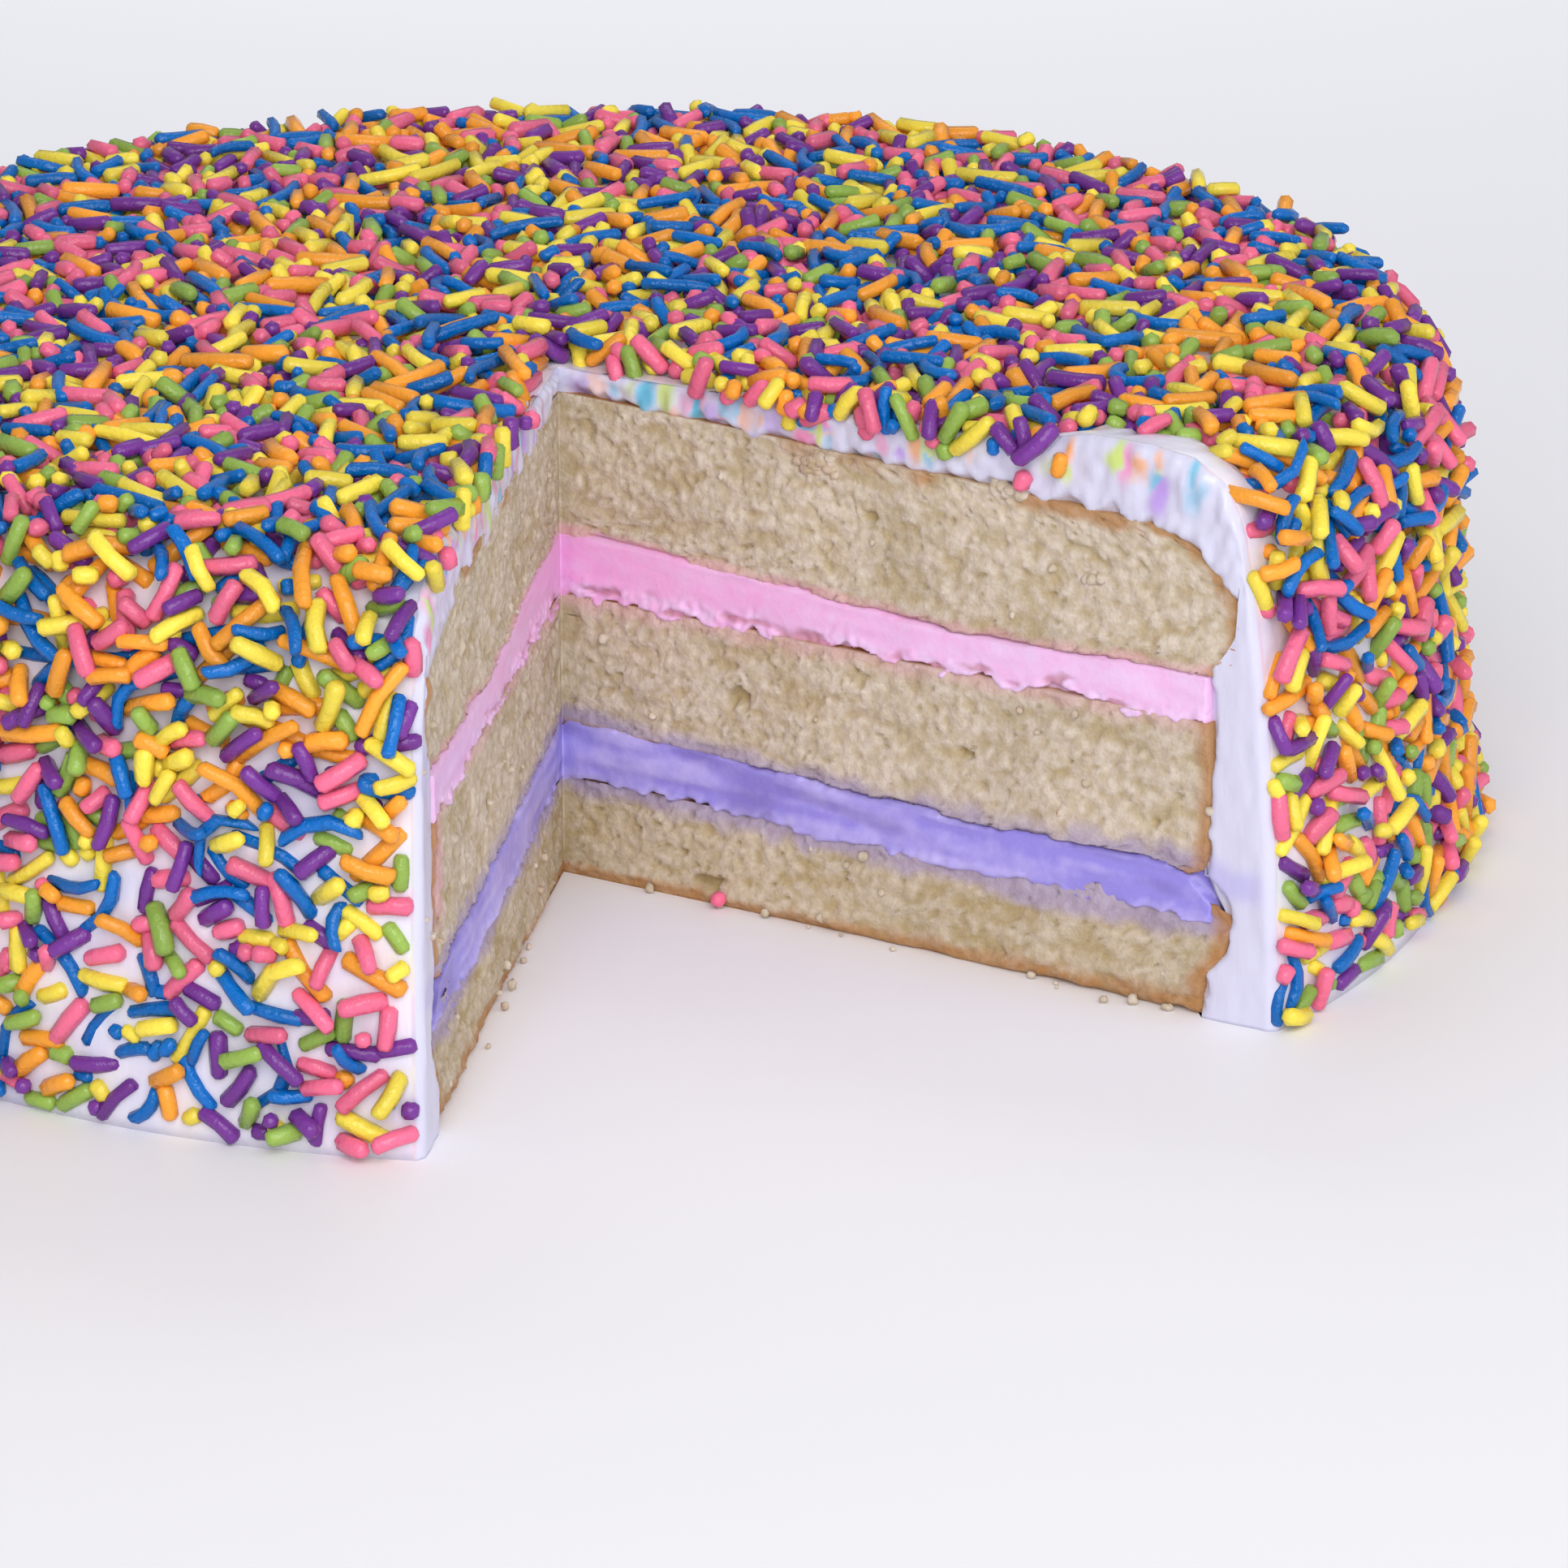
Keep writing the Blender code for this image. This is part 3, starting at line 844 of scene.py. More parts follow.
def filling_layers(context):
    """The pink and lavender fillings: ragged below, with the knife's drag along them."""
    sizes, colours = context.scene.cake_sizes, context.scene.cake_colours

    def pink_relief(spots, grid, cut):
        along = spots[..., 0]
        seed = cut.seed + 40
        top = PINK_TOP + 0.15 + 0.16 * edge_noise(along, 4.0, seed) + drift(along, PINK_TOP_DRIFT)
        low = MIDDLE_TOP - 0.4
        low += 0.9 * edge_noise(along, 4.2, seed + 1) + 0.7 * edge_noise(along, 1.4, seed + 2)
        above, below = top - spots[..., 1], spots[..., 1] - low
        tall = 3.8 - 1.5 * ramp(30.0, 55.0, along)
        torn = ramp(tall, 0.5 * tall, below + 0.6 * noise(spots, 3.0, seed + 7))
        lumps, number = grains(spots, 1.5, seed + 3)
        push = 0.22 + 0.12 * noise(spots, 6.0, seed + 4) + 0.12 * noise(spots * [0.22, 1.0], 1.3, seed + 8)
        push += torn * (0.5 * (0.45 - lumps) + 0.18 * noise(spots, 0.9, seed + 5))
        # Tears are pushed in and darkened with painted shade.
        tear = torn * ramp(0.2, 0.5, noise(spots * [0.6, 1.6], 1.7, seed + 6))
        push -= 0.5 * tear
        push -= 1.7 * ramp(0.35, 0, above) + 1.7 * ramp(0.5, 0, below)
        tone = 0.5 * torn * (number - 0.1) + 0.35 * ramp(5.0, 75.0, along)
        tone += 0.16 * noise(spots * [0.2, 1.0], 1.5, seed + 8)
        return push, 0.0 * push, {"tone": tone, "pit": 0.6 * tear}

    def lavender_relief(spots, grid, cut):
        along = spots[..., 0]
        seed = cut.seed + 60
        slope = np.interp(grid[..., 0], [0, 99.0, 106.3, 109.4], [LAVENDER_TOP, LAVENDER_TOP, 18.4, 15.5])
        top = slope + 0.1 + 0.35 * edge_noise(along, 5.0, seed) + 0.15 * edge_noise(along, 1.3, seed + 9)
        top += drift(along, LAVENDER_TOP_DRIFT)
        low = BOTTOM_TOP + 0.2 + drift(along, LAVENDER_LOW_DRIFT)
        low += 0.6 * edge_noise(along, 5.0, seed + 1) + 0.45 * edge_noise(along, 1.4, seed + 2)
        above, below = top - spots[..., 1], spots[..., 1] - low
        drag = noise(spots * [0.11, 1.0], 1.1, seed + 3)
        fold = noise(spots * [0.22, 1.0] + [0, 0.12] * spots[..., :1], 2.2, seed + 4)
        torn = ramp(2.4, 0.6, below + 0.7 * noise(spots, 4.0, seed + 7))
        lumps, number = grains(spots * [0.7, 1.0], 1.7, seed + 5)
        push = 0.25 + 0.2 * drag + 0.36 * fold * ramp(0.2, 1.5, above)
        push += torn * (0.5 * (0.45 - lumps) + 0.15 * noise(spots, 0.9, seed + 6))
        push -= 1.8 * ramp(0.4, 0, above) + 1.8 * ramp(0.55, 0, below)
        # The hollow under the top edge and the troughs of the folds are darkened with painted shade.
        hollow = ramp(0.55, 0.15, above) * ramp(0.0, 0.4, edge_noise(along, 5.0, seed + 11))
        pit = ramp(0.35, 0.8, -fold) * 0.3 + 0.5 * hollow
        tone = 0.34 * drag + 0.2 * fold + 0.4 * torn * number + 0.08 - 0.3 * ramp(45.0, 90.0, along)
        return push, 0.0 * push, {"tone": tone, "pit": pit}

    fillings = {
        "pink_filling": (
            (
                [(0, MIDDLE_TOP - 2.6), (108.2, MIDDLE_TOP - 2.6)],
                [(108.2, MIDDLE_TOP - 2.6), (108.2, PINK_TOP + 0.7)],
                [(0, PINK_TOP + 3.3), (60, PINK_TOP + 0.9), (108.2, PINK_TOP + 0.7)],
            ),
            pink_relief,
            filling_material("pink_buttercream_cut", colours.pink_filling, *PINK_SHADES, 0.4),
        ),
        "lavender_filling": (
            (
                [(0, BOTTOM_TOP - 1.4), (60, BOTTOM_TOP - 3.0), (109.4, BOTTOM_TOP - 3.2)],
                [(109.4, BOTTOM_TOP - 3.2), (109.4, 15.8)],
                [
                    (0, LAVENDER_TOP + 2.4),
                    (50, LAVENDER_TOP + 0.9),
                    (99, LAVENDER_TOP + 0.9),
                    (106.3, 19.2),
                    (109.4, 15.8),
                ],
            ),
            lavender_relief,
            filling_material("lavender_buttercream_cut", colours.lavender_filling, *LAVENDER_SHADES, 0.36),
        ),
    }
    for name, (runs, relief, material) in fillings.items():
        made = layer_mesh(f"{name}_spread", runs, sizes.face_step, ("tone", "pit"), relief, material)
        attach(made, "root")
        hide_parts(name)


# ---- sprinkles


BED_CELL = 0.4
STEEPEST = math.tan(math.radians(38.0))
ARC_RADIUS = 118.0
SKIN = np.array(SKIN_CROWN[:-1] + SKIN_SHOULDER[:-1] + SKIN_SIDE)
CROWN = np.array(SKIN_CROWN + SKIN_SHOULDER[1:])

# Share of each colour, then radius, shortest and longest length and bend, in millimetres.
ROD_KINDS = {
    "pink": (0.175, 1.16, 3.8, 8.0, 0.25),
    "yellow": (0.19, 1.11, 4.0, 9.6, 0.35),
    "orange": (0.195, 1.13, 3.8, 11.4, 0.30),
    "blue": (0.19, 0.92, 4.8, 11.0, 0.80),
    "purple": (0.16, 1.06, 3.8, 8.0, 0.25),
    "green": (0.09, 1.14, 3.0, 7.2, 0.20),
}
# Share of broken bits and their lengths, share of rods that stand up out of the top and their
# slopes in radians, and how many places are tried for each rod.
BIT_SHARE = 0.12
BIT_LENGTHS = (1.8, 3.2)
UPRIGHT_SHARE = 0.12
UPRIGHT_SLOPES = (0.6, 1.2)
TRIES = 6
# A place that isn't allowed costs this much, and none dearer than the second is taken.
FORBIDDEN = 999.0
DEAREST = 50.0


class Rod:
    """A sugar rod's colour and sizes, and how far it leans out of the bed."""

    def __init__(self, draw, allow_upright):
        shares = np.array([kind[0] for kind in ROD_KINDS.values()])
        self.colour = list(ROD_KINDS)[draw.choice(len(ROD_KINDS), p=shares / shares.sum())]
        _share, radius, shortest, longest, bend = ROD_KINDS[self.colour]
        self.radius = radius * draw.uniform(0.88, 1.08)
        self.length = shortest + (longest - shortest) * draw.beta(2.0, 2.2)
        if draw.random() < BIT_SHARE:
            self.length = draw.uniform(*BIT_LENGTHS)
        self.bend = bend * draw.normal() * (self.length / 7) ** 2
        self.tone = draw.uniform(-1, 1)
        self.lean = 0.0
        if allow_upright and draw.random() < UPRIGHT_SHARE:
            self.lean = draw.uniform(*UPRIGHT_SLOPES)

    def line(self, centres, turns):
        """Distances along the rod seen from above, and its centre line at each place tried."""
        half = max(self.length / 2 - self.radius, 0.15 * self.length) * math.cos(self.lean)
        count = 2 * max(1, math.ceil(half / 0.8)) + 1
        offsets = np.linspace(-half, half, count)
        ways = np.stack([np.cos(turns), np.sin(turns)], -1)[:, None]
        sideways = np.stack([-np.sin(turns), np.cos(turns)], -1)[:, None]
        bow = self.bend * (1 - (offsets / half) ** 2)
        return offsets, centres[:, None] + offsets[:, None] * ways + bow[:, None] * sideways, sideways


class Bed:
    """Heights over a flattened bed, on an even grid, that rise as rods are laid on it."""

    def __init__(self, low, high, height):
        self.low = np.array(low, float)
        shape = np.ceil((np.array(high) - self.low) / BED_CELL).astype(int) + 1
        self.heights = np.full(shape, float(height))

    def cells(self, spots):
        """Numbers of the grid's points nearest to places on the bed."""
        found = np.rint((spots - self.low) / BED_CELL).astype(int)
        found = np.clip(found, 0, np.array(self.heights.shape) - 1)
        return found[..., 0], found[..., 1]

    def spots(self):
        """The places of the grid's points."""
        axes = [low + np.arange(count) * BED_CELL for low, count in zip(self.low, self.heights.shape)]
        return np.stack(np.meshgrid(*axes, indexing="ij"), -1)

    def rest(self, rod, centres, turns, sunk):
        """A rod's centre line and its heights where it would come to rest, at each place tried."""
        offsets, line, sideways = rod.line(centres, turns)
        across = rod.radius * np.array([-0.8, -0.4, 0.0, 0.4, 0.8])
        spots = line[:, :, None] + across[:, None] * sideways[:, :, None]
        under = np.maximum(self.heights[self.cells(spots)], -sunk)
        needed = (under + np.sqrt(rod.radius**2 - across**2)).max(-1)
        if rod.lean:
            slope = math.tan(rod.lean)
            rise = (needed - slope * offsets).max(1)[:, None] - 0.3 * rod.length * math.sin(rod.lean)
            return line, slope * offsets + rise
        low, high = offsets < 0, offsets > 0
        run = offsets[high] - offsets[low][:, None]
        slopes = (needed[:, None, high] - needed[:, low, None]) / run
        middles = needed[:, low, None] - slopes * offsets[low][:, None]
        best = middles.reshape(len(line), -1).argmax(1)
        slope = slopes.reshape(len(line), -1)[np.arange(len(line)), best]
        slope = np.clip(slope, -STEEPEST, STEEPEST)[:, None]
        return line, slope * offsets + (needed - slope * offsets).max(1)[:, None]

    def footprint(self, line, heights, radius):
        """The grid's points under a rod and the rod's top over each."""
        count = len(line)
        share = np.linspace(0, count - 1, 3 * count)
        fine = np.stack([np.interp(share, np.arange(count), values) for values in (*line.T, heights)], -1)
        way = line[-1] - line[0]
        sideways = np.array([-way[1], way[0]]) / max(np.linalg.norm(way), 1e-6)
        across = radius * np.linspace(-0.9, 0.9, 7)
        spots = fine[:, None, :2] + across[:, None] * sideways
        return self.cells(spots), fine[:, 2:] + 0.88 * np.sqrt(radius**2 - across**2)

    def cover(self, line, heights, radius):
        """Raises the bed to the top of a rod laid on it."""
        cells, tops = self.footprint(line, heights, radius)
        np.maximum.at(self.heights, cells, tops)

    def shows(self, line, heights, radius):
        """True where some of a rod is still the highest thing over the bed."""
        cells, tops = self.footprint(line, heights, radius)
        return (tops >= self.heights[cells] - 0.05).mean() > 0.02


# The side's bed unrolled: radius, height, outward way and distance up from the foot.
SIDE_SECTION = np.array(SKIN_SIDE[::-1] + SKIN_SHOULDER[-2::-1] + [SKIN_CROWN[-2]])
SIDE_UP = np.concatenate([[0], np.cumsum(np.linalg.norm(np.diff(SIDE_SECTION, axis=0), axis=1))])
SIDE_SLOPES = np.gradient(SIDE_SECTION, SIDE_UP, axis=0)
SIDE_TOP = float(np.interp(-102.0, -SIDE_SECTION[:, 0], SIDE_UP))


def side_space(flat, out):
    """Points in space from the arc round the side, the distance up it and the distance out."""
    radius, height, along_r, along_z = (
        np.interp(flat[..., 1], SIDE_UP, values) for values in (*SIDE_SECTION.T, *SIDE_SLOPES.T)
    )
    size = np.hypot(along_r, along_z)
    turn = flat[..., 0] / ARC_RADIUS
    wide = radius * lobe(turn) + out * along_z / size
    return np.stack([wide * np.cos(turn), wide * np.sin(turn), height - out * along_r / size], -1)


def top_space(flat, out):
    """Points in space from places on the top and heights."""
    return np.concatenate([flat, out[..., None]], -1)


def bare_patch(spots):
    """1 on the frosting's shoulder beside the right cut, where the knife wiped the rods away, else 0."""
    along = (spots[..., :2] - APEX) @ RIGHT.way[:2]
    behind = -RIGHT.beyond(spots)
    edge = 1.2 * np.sin(0.55 * along) + 0.8 * np.sin(1.3 * along + 1.0)
    near = ramp(9.0, 5.0, behind + edge) * (spots[..., 0] > 0)
    return near * ramp(68.0, 80.0, along + 1.2 * np.sin(0.9 * behind)) * ramp(101.5, 97.0, along)


# How far the bare patch stands above the frosting round it.
SHOULDER_RISE = 2.4


def top_level(flat):
    """Height of the frosting's bed over the floor, from places seen from above."""
    turn = np.arctan2(flat[..., 1], flat[..., 0])
    level = np.interp(np.hypot(*np.moveaxis(flat, -1, 0)) / lobe(turn), *SKIN.T)
    return level + SHOULDER_RISE * bare_patch(flat)


class Sprinkler:
    """Lays rods one after another and keeps them by colour."""

    def __init__(self, seed):
        self.draw = np.random.default_rng(seed)
        self.rods = {name: [] for name in ROD_KINDS}
        self.box = np.array(CAD_BOX) / MM

    def inside(self, spots, radius):
        """True where a rod stays within the solid's box."""
        margin = radius + 0.25
        return (spots.min(0) - margin >= self.box[0]).all() and (spots.max(0) + margin <= self.box[1]).all()

    def lay(self, bed, wanted, patience, propose, space, cost, upright=False):
        """Lays rods at the best of a few places each, until there are enough or patience ends."""
        laid = []
        for _ in range(int(wanted * patience)):
            if len(laid) >= wanted:
                break
            rod = Rod(self.draw, upright)
            centres, turns, sunk = propose(rod)
            line, heights = bed.rest(rod, centres, turns, sunk)
            middle = line.shape[1] // 2
            marks = space(line[:, [0, middle, -1]], heights[:, [0, middle, -1]])
            costs = cost(rod, centres, heights, marks)
            best = costs.argmin()
            if costs[best] > DEAREST or not self.inside(marks[best], rod.radius):
                continue
            bed.cover(line[best], heights[best], rod.radius)
            entry = (rod, marks[best])
            self.rods[rod.colour].append(entry)
            laid.append((entry, line[best], heights[best]))
        return laid


# Degrees about the axis: the middle and width of the stretch right of the slice, where fewer rods
# cling low down, and the ends of the one beside the left cut.
RIGHT_STRETCH = (14, 28)
NEAR_LEFT = (262, 295)


def side_share(turn, height, gap):
    """Share of rods kept on the side, by angle about the axis, height and distance to the cuts."""
    degrees = np.degrees(turn)
    away = (degrees - RIGHT_STRETCH[0] + 180) % 360 - 180
    right = np.exp(-((away / RIGHT_STRETCH[1]) ** 2))
    share = 1.0 - 0.06 * ramp(30.0, 4.0, height)
    share = share * (1 - right) + right * (1.0 - 0.4 * ramp(34.0, 8.0, height))
    near_left = (degrees % 360 > NEAR_LEFT[0]) & (degrees % 360 < NEAR_LEFT[1])
    return np.where(near_left, share * (0.75 + 0.25 * ramp(1.0, 4.0, gap)), share)


# Degrees about the axis between which rods are pressed into the side.
SIDE_ENDS = (-20.0, 291.0)


def lay_side(sprinkler, wanted, foot):
    """Presses rods into the side, mostly one deep, and adds those slid down to the foot.

    Gives back the pressed ones, which the rods on the top lie against.
    """
    draw = sprinkler.draw
    first, last = np.radians(SIDE_ENDS)
    bed = Bed((first * ARC_RADIUS, 0.0), (last * ARC_RADIUS, SIDE_UP[-1]), -1.3)

    def anywhere(rod):
        arcs = draw.uniform(first, last, TRIES) * ARC_RADIUS
        ups = draw.uniform(rod.radius, SIDE_TOP, TRIES)
        return np.stack([arcs, ups], -1), draw.normal(0, 0.85, TRIES), draw.uniform(0.4, 1.15)

    def near_foot(rod):
        if draw.random() < 0.3:
            arcs = np.radians(draw.normal(25.0, 12.0, TRIES)) * ARC_RADIUS
            ups = draw.uniform(rod.radius, 22.0, TRIES) * draw.uniform(0.1, 1.0, TRIES) + 0.4
            return np.stack([arcs, ups], -1), draw.uniform(0, math.pi, TRIES), 0.6
        arcs = np.radians(draw.uniform(150.0, 290.5, TRIES)) * ARC_RADIUS
        return np.stack([arcs, draw.uniform(1.3, 4.5, TRIES)], -1), draw.normal(0, 0.5, TRIES), 0.8

    def depth_cost(rod, heights, marks, limit):
        gap = -into_slice(marks).max(1)
        low = marks[..., 2].min(1)
        bad = (gap < rod.radius * 0.45) | (low < rod.radius + 0.15) | (heights.mean(1) > limit)
        return heights.mean(1) + FORBIDDEN * bad

    def side_cost(rod, centres, heights, marks):
        middle = marks[:, 1]
        turn = np.arctan2(middle[:, 1], middle[:, 0])
        gap = -into_slice(marks).max(1)
        kept = draw.random(len(middle)) < side_share(turn, middle[:, 2], gap)
        limit = 1.65 + 2.0 * ramp(40.0, 62.0, middle[:, 2]) + 0.5 * ramp(20.0, 45.0, middle[:, 2])
        return depth_cost(rod, heights, marks, limit) + FORBIDDEN * (~kept | (bare_patch(middle) > 0.4))

    def foot_cost(rod, centres, heights, marks):
        middle = marks[:, 1]
        turn = np.degrees(np.arctan2(middle[:, 1], middle[:, 0]))
        limit = 1.7 + 2.1 * np.exp(-(((turn - 25) / 14) ** 2)) * ramp(24.0, 6.0, middle[:, 2])
        return depth_cost(rod, heights, marks, limit)

    pressed = sprinkler.lay(bed, wanted, 1.8, anywhere, side_space, side_cost)
    sprinkler.lay(bed, foot, 2.0, near_foot, side_space, foot_cost)
    return pressed


# Half the width of the top's bed, the radius out to which rods are thrown on it, and the bed's
# height in the missing slice.
TOP_REACH = 114.0
TOP_RADIUS = 107.5
IN_SLICE = 20.0


def lay_top(sprinkler, wanted, pressed):
    """Throws rods on the top, each settling in the lowest place tried, and gives back those buried."""
    draw = sprinkler.draw
    bed = Bed((-TOP_REACH, -TOP_REACH), (TOP_REACH, TOP_REACH), 0.0)
    spots = bed.spots()
    missing = into_slice(spots) > 0.4
    bed.heights[:] = np.where(missing, IN_SLICE, top_level(spots) - 0.35)
    for (rod, marks), _line, _heights in pressed:
        if marks[:, 2].max() > 58.0:
            bed.cover(marks[:, :2], marks[:, 2], rod.radius)

    def anywhere(rod):
        rings = TOP_RADIUS * np.sqrt(draw.random(TRIES))
        around = draw.uniform(0, 2 * math.pi, TRIES)
        centres = np.stack([rings * np.cos(around), rings * np.sin(around)], -1)
        return centres, draw.uniform(0, 2 * math.pi, TRIES), 0.0

    def cost(rod, centres, heights, marks):
        depth = heights.mean(1) - top_level(centres)
        crowded = 4.3 - 1.9 * ramp(94.0, 106.0, np.hypot(*centres.T))
        away = np.linalg.norm(centres - APEX, axis=1)
        nearer_right = RIGHT.beyond(centres) > LEFT.beyond(centres)
        overhang = -0.9 + 1.9 * ramp(20.0, 48.0, away) * np.where(nearer_right, 1.0, 0.5)
        bad = (into_slice(centres) > 0.0) | (into_slice(marks).max(1) > overhang) | (depth > crowded)
        bad |= bare_patch(marks).max(1) > 0.5
        return depth + FORBIDDEN * bad

    thrown = sprinkler.lay(bed, wanted, 1.3, anywhere, top_space, cost, upright=True)
    return {id(entry) for entry, line, heights in thrown if not bed.shows(line, heights, entry[0].radius)}


# Rods on each cut, how far out they hang, and how far along the right one.
HANGING_RODS = ((RIGHT, 30), (LEFT, 12))
HANGING_RADIUS = 108.0
LAST_HANGING = 74.0


def lay_on_cut(sprinkler, cut, wanted):
    """Rods dragged over the edge by the knife, hanging on the frosting of a cut."""
    draw = sprinkler.draw
    limit = float(ray_length(cut.angle, HANGING_RADIUS))
    last = LAST_HANGING if cut is RIGHT else limit
    bed = Bed((0.0, 40.0), (118.0, 80.0), -0.2)

    def near_edge(rod):
        along = draw.uniform(20.0 if cut is RIGHT else 8.0, last, TRIES)
        top = np.interp(along * HANGING_RADIUS / limit, *CROWN.T)
        turns = draw.normal(math.pi / 2, 0.5, TRIES)
        hang = np.abs(draw.normal(0, 1.0, TRIES)) - 1.1 + 1.3 * ramp(18.0, 45.0, along)
        level = top - hang + 0.5 * rod.length * np.abs(np.sin(turns))
        return np.stack([along, level], -1), turns, draw.uniform(0.2, 0.9)

    def space(flat, out):
        spots = flat[..., :1] * cut.way + out[..., None] * cut.facing
        return spots + np.array([*APEX, 0.0]) + flat[..., 1:] * np.array([0, 0, 1.0])

    def cost(rod, centres, heights, marks):
        bad = (heights.mean(1) > 2.2) | (into_slice(marks).min(1) < 0.0) | (rod.length > 7.5)
        return heights.mean(1) + FORBIDDEN * bad

    sprinkler.lay(bed, wanted, 4.0, near_edge, space, cost)


# Single rods where the photograph shows them: cut's distance and height, distance out, slope in degrees,
# length in millimetres and colour.
STRAYS = (
    (39.5, 68.2, 0.9, 28.0, 4.6, "pink"),
    (69.3, 64.6, 0.8, 66.0, 2.6, "pink"),
    (24.8, 1.4, 0.9, -30.0, 1.9, "pink"),
    (35.5, 66.8, 0.6, 80.0, 2.4, "yellow"),
    (74.5, 67.4, 0.9, 75.0, 3.0, "orange"),
)


def add_strays(sprinkler):
    """Lays the single rods on the right cut."""
    for along, height, out, slope, length, colour in STRAYS:
        rod = Rod(sprinkler.draw, False)
        rod.colour, rod.length, rod.bend = colour, length, 0.0
        rod.radius = ROD_KINDS[colour][1]
        middle = RIGHT.spot(along, height, out)
        way = RIGHT.way * math.cos(math.radians(slope)) + np.array([0, 0, math.sin(math.radians(slope))])
        half = max(length / 2 - rod.radius, 0.3)
        marks = np.array([middle - way * half, middle, middle + way * half])
        sprinkler.rods[colour].append((rod, marks))


LAYING_SEED = 11
SHAPING_SEED = 500
ROD_SIDES = 6
# Rings between a rod's ends, two on the long blue ones, which bend.
RINGS = 1
BLUE_RINGS = 2


def rods_mesh(name, rods, rings_between, seed, material):
    """All rods of one colour as one mesh, each blunt, rounded and a little uneven."""
    draw = np.random.default_rng(seed)
    count = len(rods)
    radius, length, tone = np.array([(rod.radius, rod.length, rod.tone) for rod, _marks in rods]).T
    first, middle, last = np.moveaxis(np.array([marks for _rod, marks in rods]), 1, 0)
    axis = last - first
    axis /= np.linalg.norm(axis, axis=1)[:, None]
    centre = (first + last) / 2
    bow = middle - centre
    spare = np.where(np.abs(axis[:, 2:]) < 0.8, [[0, 0, 1.0]], [[1.0, 0, 0]])
    up = np.cross(axis, spare)
    up /= np.linalg.norm(up, axis=1)[:, None]
    across = np.cross(axis, up)
    # Rings from an end inward: distance from the end and width, as shares of the radius.
    ends = ((0.0, 0.02), (0.07, 0.60), (0.50, 0.97))
    half = length / 2
    stations = [-(half - inset * radius) for inset, _width in ends]
    stations += [share * (half - 0.5 * radius) for share in np.linspace(-1, 1, rings_between + 2)[1:-1]]
    stations += [half - inset * radius for inset, _width in ends[::-1]]
    stations = np.stack(stations, 1)
    shares = [width for _inset, width in ends]
    widths = np.array(shares + [1.0] * rings_between + shares[::-1]) * radius[:, None]
    widths *= 1 + 0.07 * draw.uniform(-1, 1, widths.shape)
    curve = 1 - np.minimum((stations / half[:, None]) ** 2, 1)
    lines = centre[:, None] + stations[..., None] * axis[:, None] + curve[..., None] * bow[:, None]
    lines += draw.uniform(-0.05, 0.05, lines.shape)
    turns = np.linspace(0, 2 * math.pi, ROD_SIDES, endpoint=False) + draw.uniform(0, 1, (count, 1))
    turns = turns[:, None, :, None]
    ring = np.cos(turns) * up[:, None, None] + np.sin(turns) * across[:, None, None]
    uneven = 1 + 0.04 * draw.uniform(-1, 1, (count, stations.shape[1], ROD_SIDES, 1))
    body = (lines[:, :, None] + ring * widths[:, :, None, None] * uneven)[:, 1:-1]
    rings = body.shape[1]
    per_rod = rings * ROD_SIDES + 2
    points = np.concatenate([body.reshape(count, -1, 3), lines[:, [0, -1]]], 1)
    numbers = np.arange(rings * ROD_SIDES).reshape(rings, ROD_SIDES)
    after = np.roll(numbers, -1, axis=1)
    faces = [
        np.stack([numbers[:-1], after[:-1], after[1:]], -1).reshape(-1, 3),
        np.stack([numbers[:-1], after[1:], numbers[1:]], -1).reshape(-1, 3),
        np.stack([np.full(ROD_SIDES, rings * ROD_SIDES), after[0], numbers[0]], -1),
        np.stack([np.full(ROD_SIDES, rings * ROD_SIDES + 1), numbers[-1], after[-1]], -1),
    ]
    triangles = np.concatenate(faces) + np.arange(count)[:, None, None] * per_rod
    tones = np.repeat(tone, per_rod)
    return link_mesh(name, points.reshape(-1, 3), triangles.reshape(-1, 3), {"tone": tones}, material)


def sprinkle_pieces(context):
    """Six pieces, one for each colour of sugar rod, laid over the frosting."""
    sizes, colours = context.scene.cake_sizes, context.scene.cake_colours
    sprinkler = Sprinkler(LAYING_SEED)
    pressed = lay_side(sprinkler, sizes.side_rods, sizes.foot_rods)
    buried = lay_top(sprinkler, sizes.top_rods, pressed)
    for cut, wanted in HANGING_RODS:
        lay_on_cut(sprinkler, cut, wanted)
    add_strays(sprinkler)
    for number, name in enumerate(COLOUR_NAMES):
        made = rods_mesh(
            f"{name}_sprinkles",
            [entry for entry in sprinkler.rods[name] if id(entry) not in buried],
            BLUE_RINGS if name == "blue" else RINGS,
            SHAPING_SEED + number,
            rod_material(name, getattr(colours, name), name == "blue"),
        )
        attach(made, "root")
        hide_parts("frosting")


# ---- frosting


FROSTING_GROUP = 4
FROSTING_THICK = 8.0
FROSTING_STEPS = 1.25
# Heights over which the bare patch rises, and from which the band along the top of a cut is lumpy.
PATCH_HEIGHTS = (56.0, 64.0)
BAND_HEIGHTS = (52.0, 58.0)
DYE_CHANNELS = ("red", "green", "blue", "amount")
# The frosting where the knife opened it, painted a little darker and cooler than its skin: painted shade.
CUT_FROSTING_PAINTED_SHADE = np.array(linear("#D3D2E8"))
# Spots of dye on each cut, how far out they go and their colours.
DYE_SPOTS = 64
DYE_RADIUS = 110.0
DYES = ("#35B6D8", "#F07AB0", "#B48AE0", "#C6DE4A", "#F7A850")


